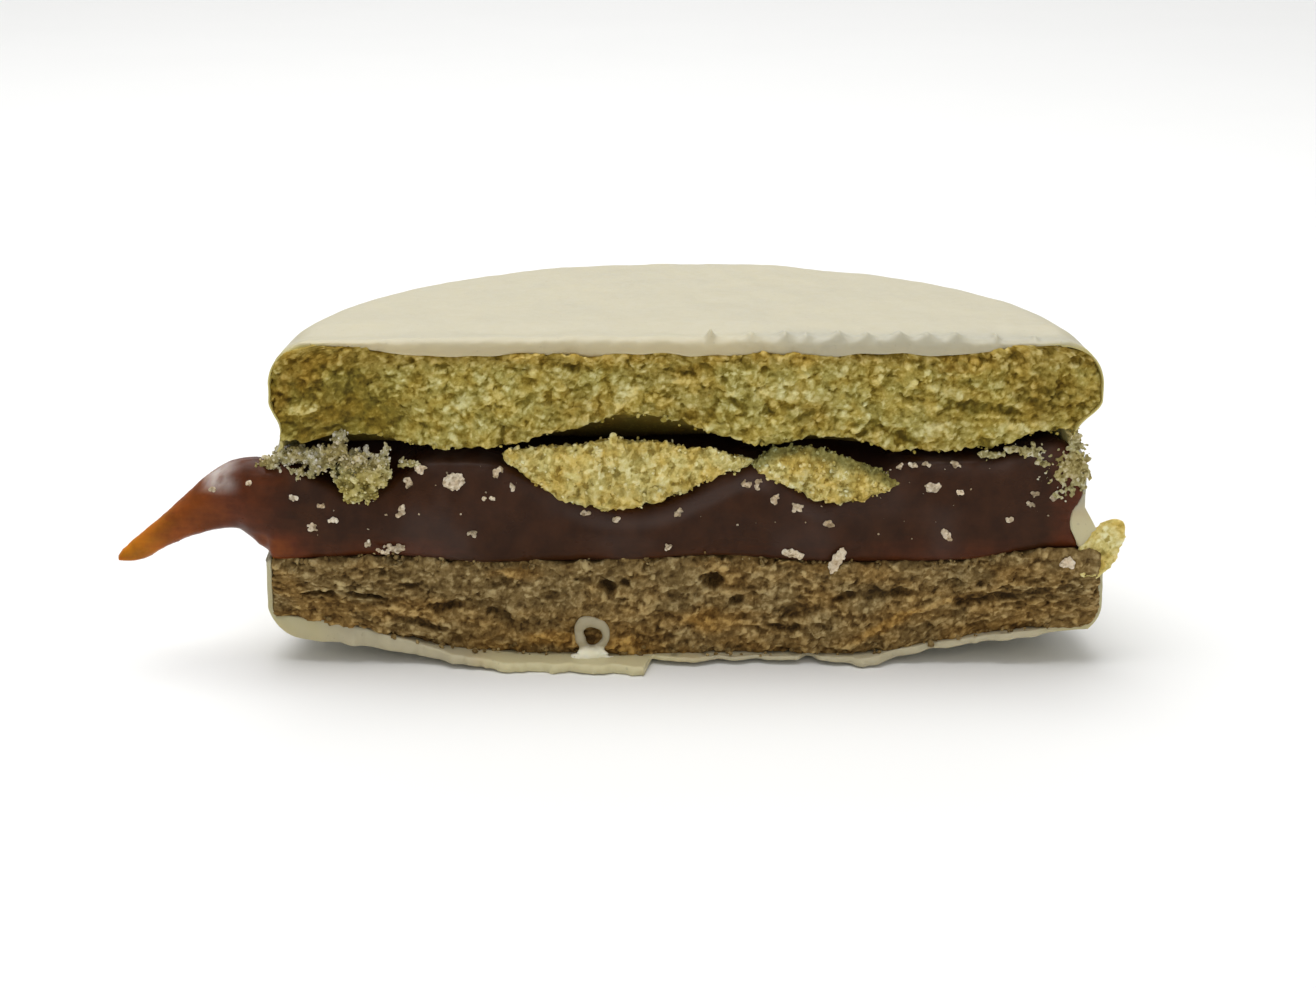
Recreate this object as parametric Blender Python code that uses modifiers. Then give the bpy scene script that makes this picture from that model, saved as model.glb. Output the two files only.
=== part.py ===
"""Half of an alfajor, cut straight through the middle.

Two round biscuits hold a thick layer of dark caramel, and a white coating wraps the
top, the round side and the underside. The knife has pulled a tail of caramel out past
the left end of the cut, and three broken bits of the upper biscuit lie pressed into the
top of the caramel, with the biscuit arching over them.

Everything is first laid out in a straight "nominal" disc, z up from the table and y = 0
on the cut, with the whole biscuit's axis at x = y = 0. A last step bows the underside
and moves the disc so that its origin lies under the half disc's centre of area.
Run with: blender --background --python part.py
"""

import math
from dataclasses import dataclass

import bmesh
import bpy
from mathutils import Vector

MM = 0.001

# Driving dimensions of the whole biscuit
RADIUS = 32.7 * MM
HEIGHT = 26.2 * MM
COAT = 1.0 * MM
GAP = 0.32 * MM

# Levels of the layers at the cut, up from the table
BASE_TOP = 8.5 * MM
FILLING_TOP = 16.8 * MM
UPPER_BOTTOM = 17.3 * MM

# The coated side: rounded edges, an upper biscuit a little smaller than the lower one, a
# broad waist along the caramel and a crease over it, both as (level, depth, half height)
LOW_ROUND = 3.0 * MM
HIGH_ROUND = 3.4 * MM
TOP_INSET = 0.7 * MM
WAIST = (15.2 * MM, 1.5 * MM, 6.4 * MM)
CREASE = (18.9 * MM, 1.2 * MM, 2.6 * MM)

# The top is crowned a little
CROWN = 0.4 * MM

# The underside is bowed: flat in the middle, lifted at the ends of the cut and the back
END_LIFT = 2.0 * MM
BACK_LIFT = 0.7 * MM
FLAT_HALF_LENGTH = 13 * MM

# The coating's cut edge: a thin flap juts out below, and a notch lets the tail pass
FLAP_REACH = 3.0 * MM
FLAP_START = -24 * MM
FLAP_END = -3.4 * MM
FLAP_STEP = 1.6 * MM
NOTCH_DEPTH = 7.0 * MM
NOTCH_LEVEL = 13.2 * MM
NOTCH_HALF_HEIGHT = 4.8 * MM

# The caramel's tail: centreline (x, y, z) and thickness there, along its run
TAIL_RUN = (
    ((-29.4 * MM, 2.6 * MM, 12.8 * MM), 6.7 * MM),
    ((-32.0 * MM, 2.4 * MM, 12.8 * MM), 6.8 * MM),
    ((-34.2 * MM, 2.1 * MM, 13.2 * MM), 5.8 * MM),
    ((-36.4 * MM, 1.8 * MM, 12.8 * MM), 5.0 * MM),
    ((-38.9 * MM, 1.4 * MM, 11.7 * MM), 3.6 * MM),
    ((-41.0 * MM, 1.1 * MM, 10.3 * MM), 2.6 * MM),
    ((-43.7 * MM, 0.8 * MM, 8.3 * MM), 1.4 * MM),
)
TAIL_FLATNESS = 0.78

# The lattice: cells across and back, rows over a rounded edge, the levels between the
# rounded edges where the side needs a row, and the least row height.
# Rows of corners lie closer together near the cut, where the hollows are, and each
# corner is placed in this many passes
LAYER_CELLS = (30, 7)
PLAIN_CELLS = (24, 7)
ARC_STEPS = 3
SIDE_LEVELS = [level * MM for level in (6, 8.4, 10.0, 13.2, 16.4, 17.8, 18.9, 20.2, 21.5)]
LEAST_ROW = 0.4 * MM
ROW_CROWDING = 1.45
PASSES = 4

# The origin is below the half disc's centre of area, this far behind the cut
ORIGIN_DEPTH = 4 * RADIUS / (3 * math.pi)


@dataclass(frozen=True)
class BrokenPiece:
    """A broken bit of the upper biscuit, half sunk in the caramel."""

    name: str
    centre: float
    half_width: float
    depth: float
    thickness: float
    sink: float
    arch: float
    jut: float


BROKEN_PIECES = (
    BrokenPiece("broken_piece_left", -25.0 * MM, 4.3 * MM, 5 * MM, 3.0 * MM, 2.7 * MM, 1.6 * MM, 1.0 * MM),
    BrokenPiece("broken_piece_middle", -4.5 * MM, 9.4 * MM, 8 * MM, 5.3 * MM, 4.2 * MM, 2.8 * MM, 0.9 * MM),
    BrokenPiece("broken_piece_right", 10.9 * MM, 5.3 * MM, 6 * MM, 3.4 * MM, 3.1 * MM, 1.3 * MM, 0.7 * MM),
)
RIM_THICKNESS = 0.35 * MM
PIECE_GAP = 0.45 * MM
HOLLOW_SPREAD = 1.3


# ---------------------------------------------------------------- small formulas


def smooth(t):
    """An S-curve from 0 at t = 0 to 1 at t = 1."""
    t = min(max(t, 0.0), 1.0)
    return t * t * (3 - 2 * t)


def bump(x, centre, half_width):
    """A rounded hill: 1 at the centre, 0 from half_width on."""
    t = abs(x - centre) / half_width
    return 0.5 + 0.5 * math.cos(math.pi * t) if t < 1 else 0.0


def wave(x, length, phase):
    return math.sin(2 * math.pi * x / length + phase)


# ---------------------------------------------------------------- the whole form


def straight_radius(level):
    """Radius of the coated side at a nominal level, before its edges are rounded."""
    radius = RADIUS - TOP_INSET * smooth((level - BASE_TOP) / (UPPER_BOTTOM - BASE_TOP))
    radius -= WAIST[1] * min(1.5 * bump(level, WAIST[0], WAIST[2]), 1)
    return radius - CREASE[1] * bump(level, CREASE[0], CREASE[2])


def side_radius(level, inset=0.0):
    """Radius of the coated side at a nominal level, or of the surface that far inside it."""
    step = 0.2 * MM
    slope = (straight_radius(level + step) - straight_radius(level - step)) / (2 * step)
    radius = straight_radius(level) - inset * math.hypot(1.0, slope)
    below = LOW_ROUND - level
    above = level - (HEIGHT - HIGH_ROUND)
    for past, rounding in ((below, LOW_ROUND), (above, HIGH_ROUND)):
        if past > 0:
            arc = rounding - inset
            radius -= arc - math.sqrt(max(arc * arc - past * past, 0.0))
    return radius


def settle(point):
    """Bows the underside, lifting it near the ends of the cut and the back, and crowns the top."""
    end = smooth((abs(point.x) - FLAT_HALF_LENGTH) / (RADIUS - FLAT_HALF_LENGTH))
    back = smooth((point.y / RADIUS - 0.78) / 0.2)
    lift = max(END_LIFT * end, BACK_LIFT * back)
    lift *= 1 - smooth((point.z - COAT - GAP) / (BASE_TOP - COAT - GAP))
    droop = CROWN * (point.x ** 2 + point.y ** 2) / RADIUS ** 2
    droop *= smooth((point.z - UPPER_BOTTOM) / (HEIGHT - COAT - UPPER_BOTTOM))
    return point + Vector((0, 0, lift - droop))


def filling_top(x, y):
    """The caramel's top, with a hollow under each broken piece."""
    level = FILLING_TOP + 0.15 * MM * wave(x, 21 * MM, 0.5)
    for piece in BROKEN_PIECES:
        across = bump(x, piece.centre, HOLLOW_SPREAD * piece.half_width)
        level -= piece.sink * across * bump(y, 0, HOLLOW_SPREAD * piece.depth)
    return level


def upper_bottom(x, y):
    """The upper biscuit's underside, which arches over each broken piece."""
    level = UPPER_BOTTOM + 0.15 * MM * wave(x, 21 * MM, 0.5)
    for piece in BROKEN_PIECES:
        across = bump(x, piece.centre, HOLLOW_SPREAD * piece.half_width)
        level += piece.arch * across * bump(y, 0, 1.5 * piece.depth)
    return level + 0.9 * MM * smooth((abs(x) - 26 * MM) / (5 * MM))


def base_top(x, y):
    """The lower biscuit's top, gently uneven."""
    return BASE_TOP + 0.25 * MM * wave(x, 27 * MM, 1.2) + 0.6 * MM * smooth((x - 20 * MM) / (10 * MM))


# ---------------------------------------------------------------- lattice blocks


def lattice_block(counts):
    """A cube sliced into counts cells along x, y and z, whose corners lie on whole numbers."""
    mesh = bmesh.new()
    bmesh.ops.create_cube(mesh, size=1.0)
    for vertex in mesh.verts:
        vertex.co = [(c + 0.5) * n for c, n in zip(vertex.co, counts)]
    for axis, count in enumerate(counts):
        normal = Vector([float(i == axis) for i in range(3)])
        for cut in range(1, count):
            everything = mesh.verts[:] + mesh.edges[:] + mesh.faces[:]
            bmesh.ops.bisect_plane(mesh, geom=everything, plane_co=normal * cut, plane_no=normal)
    return mesh


def half_disc_point(across, back):
    """Maps across -1..1 and back 0..1 to a half disc of radius 1, back = 0 being its straight edge."""
    x = across * math.sqrt(1 - back * back / 2)
    y = back * math.sqrt(1 - across * across / 2)
    return x, y


def press_into_disc(mesh, counts, shares, low, high, inset, front_at):
    """Moves a lattice block's corners onto a half disc between two surfaces.

    shares gives, for each row of corners, how far it is from low to high. inset is how far
    the round side lies inside the coated one, and front_at(x, share) is how far behind
    y = 0 the cut face lies there. A corner's level and its place decide each other, so
    both are found together in a few passes.
    """
    for vertex in mesh.verts:
        column, row, layer = (round(c) for c in vertex.co)
        back = (row / counts[1]) ** ROW_CROWDING
        plan_x, plan_y = half_disc_point(2 * column / counts[0] - 1, back)
        share = shares[layer]
        x = y = 0.0
        for _ in range(PASSES):
            level = low(x, y) + share * (high(x, y) - low(x, y))
            radius = side_radius(level, inset)
            y = plan_y * radius + front_at(plan_x * radius, share) * (1 - back) ** 2
            chord = 1.0
            if plan_y < 0.999:
                chord = math.sqrt(max(1 - (y / radius) ** 2, 0) / (1 - plan_y * plan_y))
            x = plan_x * radius * chord
        vertex.co = settle(Vector((x, y, level)))


def side_stations(inset=0.0):
    """Nominal levels, from the table up, where the side's shape needs a row of corners."""
    arc = [math.sin(math.pi / 2 * i / ARC_STEPS) for i in range(ARC_STEPS + 1)]
    low = [LOW_ROUND - (LOW_ROUND - inset) * a for a in reversed(arc)]
    high = [HEIGHT - HIGH_ROUND + (HIGH_ROUND - inset) * a for a in arc]
    return low + SIDE_LEVELS + high


def row_shares(low, high, inset=0.0):
    """The rows of a layer between two nominal levels, as shares from 0 to 1."""
    inside = [z for z in side_stations(inset) if low + LEAST_ROW < z < high - LEAST_ROW]
    return [(z - low) / (high - low) for z in (low, *inside, high)]


# ---------------------------------------------------------------- objects


def material(name, colour, roughness):
    made = bpy.data.materials.new(name)
    made.use_nodes = True
    shader = made.node_tree.nodes["Principled BSDF"]
    shader.inputs["Base Color"].default_value = (*colour, 1)
    shader.inputs["Roughness"].default_value = roughness
    shader.inputs["Metallic"].default_value = 0.0
    return made


def add_object(name, mesh, collection, finish):
    """Moves the bmesh to the row's origin and links it as a named, smooth-shaded object."""
    bmesh.ops.translate(mesh, verts=mesh.verts, vec=(0, -ORIGIN_DEPTH, 0))
    bmesh.ops.recalc_face_normals(mesh, faces=mesh.faces)
    data = bpy.data.meshes.new(name)
    mesh.to_mesh(data)
    mesh.free()
    data.shade_smooth()
    data.set_sharp_from_angle(angle=math.radians(40))
    made = bpy.data.objects.new(name, data)
    made.data.materials.append(finish)
    collection.objects.link(made)
    return made


def add_coating(collection, finish):
    """The white shell: the disc's outer skin, open at the cut, thickened inwards."""
    shares = [z / HEIGHT for z in side_stations()]
    counts = (*PLAIN_CELLS, len(shares) - 1)

    def front_at(x, share):
        level = share * HEIGHT
        ramp = smooth((x - FLAP_START) / (FLAP_END - FLAP_START)) if x < FLAP_END else 0.0
        ramp = max(ramp, 1 - (x - FLAP_END) / FLAP_STEP) if FLAP_END <= x < FLAP_END + FLAP_STEP else ramp
        flap = (0.7 * MM + (FLAP_REACH - 0.7 * MM) * ramp) * (1 - smooth(level / (2.5 * MM)))
        notch = NOTCH_DEPTH * smooth(3 - 3 * abs(level - NOTCH_LEVEL) / NOTCH_HALF_HEIGHT)
        notch *= smooth(-4 * x / RADIUS - 2)
        return notch - flap

    mesh = lattice_block(counts)
    front_faces = [face for face in mesh.faces if face.calc_center_median().y < 0.001]
    bmesh.ops.delete(mesh, geom=front_faces, context="FACES_ONLY")
    press_into_disc(
        mesh,
        counts,
        shares,
        low=lambda x, y: 0.0,
        high=lambda x, y: HEIGHT,
        inset=0.0,
        front_at=front_at,
    )
    coating = add_object("coating", mesh, collection, finish)
    shell = coating.modifiers.new("thickness", "SOLIDIFY")
    shell.thickness = COAT
    shell.offset = -1
    shell.use_even_offset = True
    return coating


def add_layer(name, cells, nominal, low, high, front_at, collection, finish):
    """One layer inside the coating, between two surfaces; nominal is its (low, high) level."""
    bottom, top = nominal
    shares = row_shares(bottom, top, COAT + GAP)
    counts = (*cells, len(shares) - 1)
    mesh = lattice_block(counts)
    press_into_disc(
        mesh,
        counts,
        shares,
        low,
        high,
        inset=COAT + GAP,
        front_at=front_at,
    )
    return add_object(name, mesh, collection, finish)


def add_biscuit_base(collection, finish):
    bottom = COAT + GAP
    return add_layer(
        "biscuit_base",
        PLAIN_CELLS,
        nominal=(bottom, BASE_TOP),
        low=lambda x, y: bottom,
        high=base_top,
        front_at=lambda x, share: 0.35 * MM * wave(x, 19 * MM, 0.8) - 0.3 * MM * share,
        collection=collection,
        finish=finish,
    )


def add_biscuit_top(collection, finish):
    top = HEIGHT - COAT - GAP
    return add_layer(
        "biscuit_top",
        LAYER_CELLS,
        nominal=(UPPER_BOTTOM, top),
        low=upper_bottom,
        high=lambda x, y: top,
        front_at=lambda x, share: 0.3 * MM * wave(x, 17 * MM, 2.1) + 0.5 * MM * (1 - share) ** 2,
        collection=collection,
        finish=finish,
    )


def tail_mesh(collection):
    """The pulled-out tail as a closed mesh, flattened a little across its run."""
    curve = bpy.data.curves.new("tail_line", "CURVE")
    curve.dimensions = "3D"
    curve.bevel_depth = 1.0
    curve.bevel_resolution = 2
    curve.use_fill_caps = True
    curve.resolution_u = 4
    spline = curve.splines.new("BEZIER")
    spline.bezier_points.add(len(TAIL_RUN) - 1)
    for point, (place, thickness) in zip(spline.bezier_points, TAIL_RUN):
        point.co = place
        point.radius = thickness / 2
        point.handle_left_type = "AUTO"
        point.handle_right_type = "AUTO"
    line = bpy.data.objects.new("tail_line", curve)
    collection.objects.link(line)
    bpy.context.view_layer.update()
    solid = bpy.data.meshes.new_from_object(line.evaluated_get(bpy.context.evaluated_depsgraph_get()))
    mesh = bmesh.new()
    mesh.from_mesh(solid)
    bpy.data.objects.remove(line)
    bmesh.ops.remove_doubles(mesh, verts=mesh.verts, dist=0.01 * MM)
    for vertex in mesh.verts:
        middle = TAIL_RUN[2][0][1]
        vertex.co.y = middle + (vertex.co.y - middle) * TAIL_FLATNESS
    return mesh


def add_filling(collection, cutters, finish):
    """The caramel layer, with its tail joined on."""

    def front_at(x, share):
        swell = 0.8 * MM * bump(share, 0.4, 0.75)
        return 0.2 * MM * wave(x, 13 * MM, 0) - swell

    filling = add_layer(
        "filling",
        LAYER_CELLS,
        nominal=(BASE_TOP + GAP, FILLING_TOP),
        low=lambda x, y: base_top(x, y) + GAP,
        high=filling_top,
        front_at=front_at,
        collection=collection,
        finish=finish,
    )
    tail = add_object("tail", tail_mesh(cutters), cutters, finish)
    tail.hide_render = True
    tail.display_type = "WIRE"
    join = filling.modifiers.new("tail", "BOOLEAN")
    join.operation = "UNION"
    join.object = tail
    return filling


def add_broken_piece(piece, collection, finish):
    """A lens-shaped bit that fills the hollow in the caramel under it."""
    counts = (12, 3, 2)
    mesh = lattice_block(counts)
    for vertex in mesh.verts:
        column, row, layer = (round(c) for c in vertex.co)
        plan_x, plan_y = half_disc_point(2 * column / counts[0] - 1, row / counts[1])
        spread = 1.0 if layer == 1 else 0.96
        reach = min(math.hypot(plan_x, plan_y), 1.0)
        x = piece.centre + plan_x * spread * piece.half_width
        y = plan_y * spread * piece.depth - piece.jut * (1 - plan_y) * (1 - plan_x * plan_x)
        thickness = RIM_THICKNESS + (piece.thickness - RIM_THICKNESS) * (1 - reach * reach) ** 0.8
        low = filling_top(x, max(y, 0)) + PIECE_GAP
        vertex.co = (x, y, low + thickness * layer / counts[2])
    return add_object(piece.name, mesh, collection, finish)


def main():
    for old in list(bpy.data.objects):
        bpy.data.objects.remove(old)
    alfajor = bpy.data.collections.new("alfajor_half")
    cutters = bpy.data.collections.new("cutters")
    for collection in (alfajor, cutters):
        bpy.context.scene.collection.children.link(collection)

    white_coating = material("white_coating", (0.78, 0.74, 0.60), 0.35)
    green_biscuit = material("green_biscuit", (0.44, 0.39, 0.14), 0.85)
    brown_biscuit = material("brown_biscuit", (0.30, 0.19, 0.08), 0.85)
    dark_caramel = material("dark_caramel", (0.09, 0.025, 0.012), 0.22)
    pale_crumb = material("pale_crumb", (0.60, 0.53, 0.24), 0.9)

    add_coating(alfajor, white_coating)
    add_biscuit_top(alfajor, green_biscuit)
    add_filling(alfajor, cutters, dark_caramel)
    add_biscuit_base(alfajor, brown_biscuit)
    for piece in BROKEN_PIECES:
        add_broken_piece(piece, alfajor, pale_crumb)


main()
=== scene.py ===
"""The looks of a cut alfajor half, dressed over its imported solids.

Crumb faces, caramel, coating, broken bits and loose crumbs are modelled as meshes in
millimetres and written in metres. x runs along the cut, y is the depth behind the cut
and z is up from the table; a last step moves every mesh back to the solids' own frame.
"""

import itertools
import logging
import math
from dataclasses import dataclass
from enum import Enum
from typing import Callable, Optional, Sequence, Union

import bmesh
import bpy
import numpy as np
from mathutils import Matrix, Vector
from mathutils.kdtree import KDTree


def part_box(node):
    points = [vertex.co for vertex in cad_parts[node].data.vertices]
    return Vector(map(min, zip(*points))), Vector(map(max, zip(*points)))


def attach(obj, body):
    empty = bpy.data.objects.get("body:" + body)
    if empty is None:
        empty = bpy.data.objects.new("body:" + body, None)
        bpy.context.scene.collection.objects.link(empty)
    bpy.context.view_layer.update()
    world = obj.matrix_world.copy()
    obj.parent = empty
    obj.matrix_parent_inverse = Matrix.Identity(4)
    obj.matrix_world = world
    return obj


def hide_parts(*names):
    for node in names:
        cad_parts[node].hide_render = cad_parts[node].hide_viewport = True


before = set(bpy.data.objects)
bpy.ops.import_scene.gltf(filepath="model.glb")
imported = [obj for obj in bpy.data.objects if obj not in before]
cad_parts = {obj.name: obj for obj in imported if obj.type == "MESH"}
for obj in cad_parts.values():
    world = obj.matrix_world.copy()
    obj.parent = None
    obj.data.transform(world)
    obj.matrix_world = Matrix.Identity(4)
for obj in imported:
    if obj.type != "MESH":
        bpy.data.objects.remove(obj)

MM = 0.001
PASSES = 4  # the rounds in which half_disc() settles
PULL = 0.7  # how far cavity() draws a corner to its neighbours each round
LOG = logging.getLogger("alfajor")

Array = np.ndarray
Colour = tuple[float, float, float]
Trio = tuple[float, float, float]
Line = tuple[tuple[float, float], ...]
Surface = Callable[[Array, Array], Array]
Mesh = bpy.types.Mesh
Piece = bpy.types.Object
Socket = bpy.types.NodeSocket


# --- formulas and tables


def each(kind: type, *rows: tuple) -> tuple:
    """Makes one of a kind from each row of its values."""
    return tuple(kind(*row) for row in rows)


def on_face(x: Array, z: Array) -> Array:
    """Points on the flat cut face, one row each, from their places along it and their levels."""
    return np.column_stack([x.ravel(), z.ravel(), np.zeros(x.size)])


def smooth(t: Array) -> Array:
    """An S-curve from 0 at t = 0 to 1 at t = 1."""
    t = np.clip(t, 0.0, 1.0)
    return t * t * (3 - 2 * t)


def rise(x: Array, start: float, length: float) -> Array:
    """An S-curve that leaves 0 at start and reaches 1 a length further on."""
    return smooth((x - start) / length)


def fall(x: Array, start: float, length: float) -> Array:
    """An S-curve that leaves 1 at start and reaches 0 a length further on."""
    return 1 - rise(x, start, length)


def bump(x: Array, centre: float, half_width: float) -> Array:
    """A rounded hill: 1 at the centre, 0 from half_width on."""
    t = np.clip(np.abs(x - centre) / half_width, 0.0, 1.0)
    return 0.5 + 0.5 * np.cos(np.pi * t)


def wave(x: Array, length: float, phase: float) -> Array:
    """A sine wave of a given length."""
    return np.sin(2 * np.pi * x / length + phase)


@dataclass(frozen=True)
class Noise:
    """Smooth seeded noise in space."""

    seed: int

    def _corner(self, cell: Array) -> Array:
        """Draws a number for each cell, by mixing the bits of its own numbers.

        Args:
            cell: whole-numbered places, one row each.

        Returns:
            A number from -1 to 1 for each cell.
        """
        mixed = (cell * np.array([73856093, 19349663, 83492791])).sum(axis=1)
        mixed = (mixed + self.seed * 2654435761) & 0xFFFFFFFF
        mixed = ((mixed ^ (mixed >> 15)) * 2246822519) & 0xFFFFFFFF
        mixed = ((mixed ^ (mixed >> 13)) * 3266489917) & 0xFFFFFFFF
        return ((mixed ^ (mixed >> 16)) & 0xFFFF) / 32767.5 - 1

    def at(self, points: Array, size: float) -> Array:
        """Noise at points.

        Args:
            points: places, one row each, in mm.
            size: how far apart its hills are, in mm.

        Returns:
            One number from -1 to 1 for each point.
        """
        scaled = points / size
        cell = np.floor(scaled)
        part = smooth(scaled - cell)
        cell = cell.astype(np.int64)
        total = np.zeros(len(points))
        for corner in itertools.product((0, 1), repeat=3):
            weight = np.where(corner, part, 1 - part).prod(axis=1)
            total += weight * self._corner(cell + np.array(corner))
        return total

    def fractal(self, points: Array, size: float, octaves: int = 3) -> Array:
        """Noise with finer and finer detail on it.

        Args:
            points: places, one row each, in mm.
            size: how far apart the widest hills are, in mm.
            octaves: the number of layers, each half as wide and half as high as the last.

        Returns:
            One number for each point, mostly from -1 to 1.
        """
        total = np.zeros(len(points))
        weight = 1.0
        for octave in range(octaves):
            total += weight * Noise(self.seed + 17 * octave).at(points, size / 2 ** octave)
            weight /= 2
        return total / 1.5

    def push(self, points: Array, size: float, octaves: int) -> Array:
        """Three draws of fractal() side by side, to push points about."""
        return np.column_stack([self.fractal(points + 30 * axis, size, octaves) for axis in range(3)])


# --- the cookie's form


@dataclass(frozen=True)
class Hollow:
    """Where a broken bit lies: the caramel sinks under it and the biscuit arches over it, in mm."""

    centre: float
    half_width: float
    depth: float
    sink: float
    arch: float

    def across(self, x: Array) -> Array:
        """How much of the hollow there is at x, from 0 to 1."""
        return bump(x, self.centre, HOLLOW_SPREAD * self.half_width)


HOLLOW_SPREAD = 1.3  # how much larger than its bit a hollow is
ARCH_SPREAD = 0.6  # how deep the arch over a bit is, against the bit's depth
HOLLOWS = (
    Hollow(-25.0, 4.6, 5.0, 2.7, 1.6),
    Hollow(-4.5, 9.4, 8.0, 4.2, 2.8),
    Hollow(11.1, 5.3, 6.0, 3.2, 1.3),
)


@dataclass(frozen=True)
class Cookie:
    """Driving sizes of the half cookie in mm, and the surfaces worked out from them."""

    radius: float
    height: float
    base_top: float
    filling_top: float
    upper_bottom: float
    coat: float = 1.0
    low_round: float = 3.0
    high_round: float = 3.4
    top_inset: float = 0.7
    waist: Trio = (15.2, 1.5, 6.4)
    crease: Trio = (18.9, 1.2, 2.6)
    crown: float = 0.4
    end_lift: float = 2.0
    back_lift: float = 0.7
    flat_half_length: float = 13.0
    thick_side: float = 1.0
    thick_top: float = 1.25
    embed: float = 0.1

    @classmethod
    def from_frame(cls) -> "Cookie":
        """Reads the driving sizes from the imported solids' boxes.

        Returns:
            The half cookie, with its levels freed of the swell and the waves on them.
        """
        low, high = (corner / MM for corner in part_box("coating"))
        swell, wavy = 0.85, 0.15
        return cls(
            radius=(high.x - low.x) / 2,
            height=high.z - low.z,
            base_top=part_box("biscuit_base")[1].z / MM - swell,
            filling_top=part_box("filling")[1].z / MM - wavy,
            upper_bottom=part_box("biscuit_top")[0].z / MM + wavy,
        )

    @property
    def cut(self) -> float:
        """Where the cut plane lies in the solids' frame, along y."""
        return -4 * self.radius / (3 * math.pi)

    def straight_radius(self, level: Array) -> Array:
        """Radius of the coated side before its edges are rounded.

        Args:
            level: heights above the table.

        Returns:
            The radius at each level, less at the waist and in the crease above it.
        """
        taper = smooth((level - self.base_top) / (self.upper_bottom - self.base_top))
        radius = self.radius - self.top_inset * taper
        radius = radius - self.waist[1] * np.minimum(1.5 * bump(level, self.waist[0], self.waist[2]), 1)
        return radius - self.crease[1] * bump(level, self.crease[0], self.crease[2])

    def side_radius(self, level: Array, inset: float = 0.0) -> Array:
        """Radius of the surface that far inside the coated side.

        Args:
            level: heights above the table.
            inset: distance inside the outer surface.

        Returns:
            The radius at each level.
        """
        step = 0.2
        slope = (self.straight_radius(level + step) - self.straight_radius(level - step)) / (2 * step)
        radius = self.straight_radius(level) - inset * np.hypot(1.0, slope)
        for past, rounding in (
            (self.low_round - level, self.low_round),
            (level - self.height + self.high_round, self.high_round),
        ):
            arc = rounding - inset
            past = np.clip(past, 0.0, arc)
            radius = radius - (arc - np.sqrt(arc * arc - past * past))
        return radius

    def side_coat(self, level: Array, depth: Array) -> Array:
        """How thick the coating is at the side: thin at the cut, most of all on the upper biscuit.

        Args:
            level: heights above the table.
            depth: distances behind the cut.

        Returns:
            The thickness at each place.
        """
        upper = rise(level, 17.6, 0.9) * fall(level, 25.0, 0.9)
        filling = rise(level, 9.0, 0.9) * fall(level, 16.6, 0.9)
        thin = 0.40 - 0.27 * upper - 0.12 * filling
        return thin + (self.thick_side - thin) * smooth(depth / 5)

    def floor_rise(self, x: Array, y: Array) -> Array:
        """How much thicker the coating is under the ends of the cut."""
        return (1.1 * rise(-x, 17, 13) + 0.45 * rise(x, 12, 8)) * fall(y, 0, 5)

    def web(self, side: Array, level: Array, depth: Array) -> Array:
        """How much thicker it is at the waist's right end; side goes from -1 to 1 along the cut."""
        at_end = rise(side, 0.84, 0.14) * fall(depth, 0.8, 3)
        return 1.7 * rise(level, 8.8, 0.9) * fall(level, 10.8, 3.2) * at_end

    def top_coat(self, x: Array, y: Array) -> Array:
        """How thick the coating is on top: it thins towards the ends of the cut."""
        uneven = (0.10 * wave(x, 9.3, 0.4) + 0.07 * wave(x, 3.7, 1.1)) * fall(np.abs(x), 16, 5)
        return self.thick_top + (uneven - 0.95 * rise(np.abs(x), 19, 9)) * fall(y, 0, 5)

    def inner_radius(self, level: Array, depth: Array) -> Array:
        """Radius of what lies inside the coating, sunk a little into it near the cut."""
        sunk = self.embed * fall(depth, 1, 3) - 0.03
        return self.side_radius(level, self.side_coat(level, depth) - sunk)

    def settle(self, points: Array) -> Array:
        """Bows the underside, crowns the top and fills the waist out at the ends of the cut.

        Args:
            points: places on the straight cookie.

        Returns:
            The same places on the cookie as it lies.
        """
        x, y, z = points.T
        near_cut = 1 - rise(y, 2, 14)
        x = x - 1.6 * bump(z, 17.6, 4.2) * rise(-x, 21, 8) * near_cut
        x = x + 0.5 * bump(z, 15.8, 5.0) * rise(x, 21, 8) * near_cut
        floor = self.coat + 0.32
        end = smooth((np.abs(x) - self.flat_half_length) / (self.radius - self.flat_half_length))
        back = smooth((y / self.radius - 0.78) / 0.2)
        lift = np.maximum(self.end_lift * end, self.back_lift * back)
        lift = lift * (1 - smooth((z - floor) / (self.base_top - floor)))
        droop = self.crown * (x * x + y * y) / self.radius ** 2
        droop = droop * smooth((z - self.upper_bottom) / (self.height - self.coat - self.upper_bottom))
        return np.column_stack([x, y, z + lift - droop])

    def caramel_top(self, x: Array, y: Array) -> Array:
        """The caramel's top, hollow under each broken bit.

        Args:
            x: places along the cut.
            y: distances behind it.

        Returns:
            The level at each place.
        """
        level = self.filling_top + 0.15 * wave(x, 21, 0.5) + 1.1 * rise(x, 23.5, 5)
        for hollow in HOLLOWS:
            level = level - hollow.sink * hollow.across(x) * bump(y, 0, HOLLOW_SPREAD * hollow.depth)
        return level

    def upper_underside(self, x: Array, y: Array) -> Array:
        """The upper biscuit's underside, arched over each broken bit.

        Args:
            x: places along the cut.
            y: distances behind it.

        Returns:
            The level at each place.
        """
        level = self.upper_bottom + 0.15 * wave(x, 21, 0.5)
        for hollow in HOLLOWS:
            level = level + hollow.arch * hollow.across(x) * bump(y, 0, ARCH_SPREAD * hollow.depth)
        return level + 0.9 * rise(-x, 26, 5) + 1.5 * rise(x, 22.5, 6)

    def base_upper_side(self, x: Array, y: Array) -> Array:
        """The lower biscuit's top, gently uneven."""
        return self.base_top + 0.25 * wave(x, 27, 1.2) + 0.6 * rise(x, 20, 10)


COOKIE = Cookie.from_frame()


# --- meshes


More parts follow.
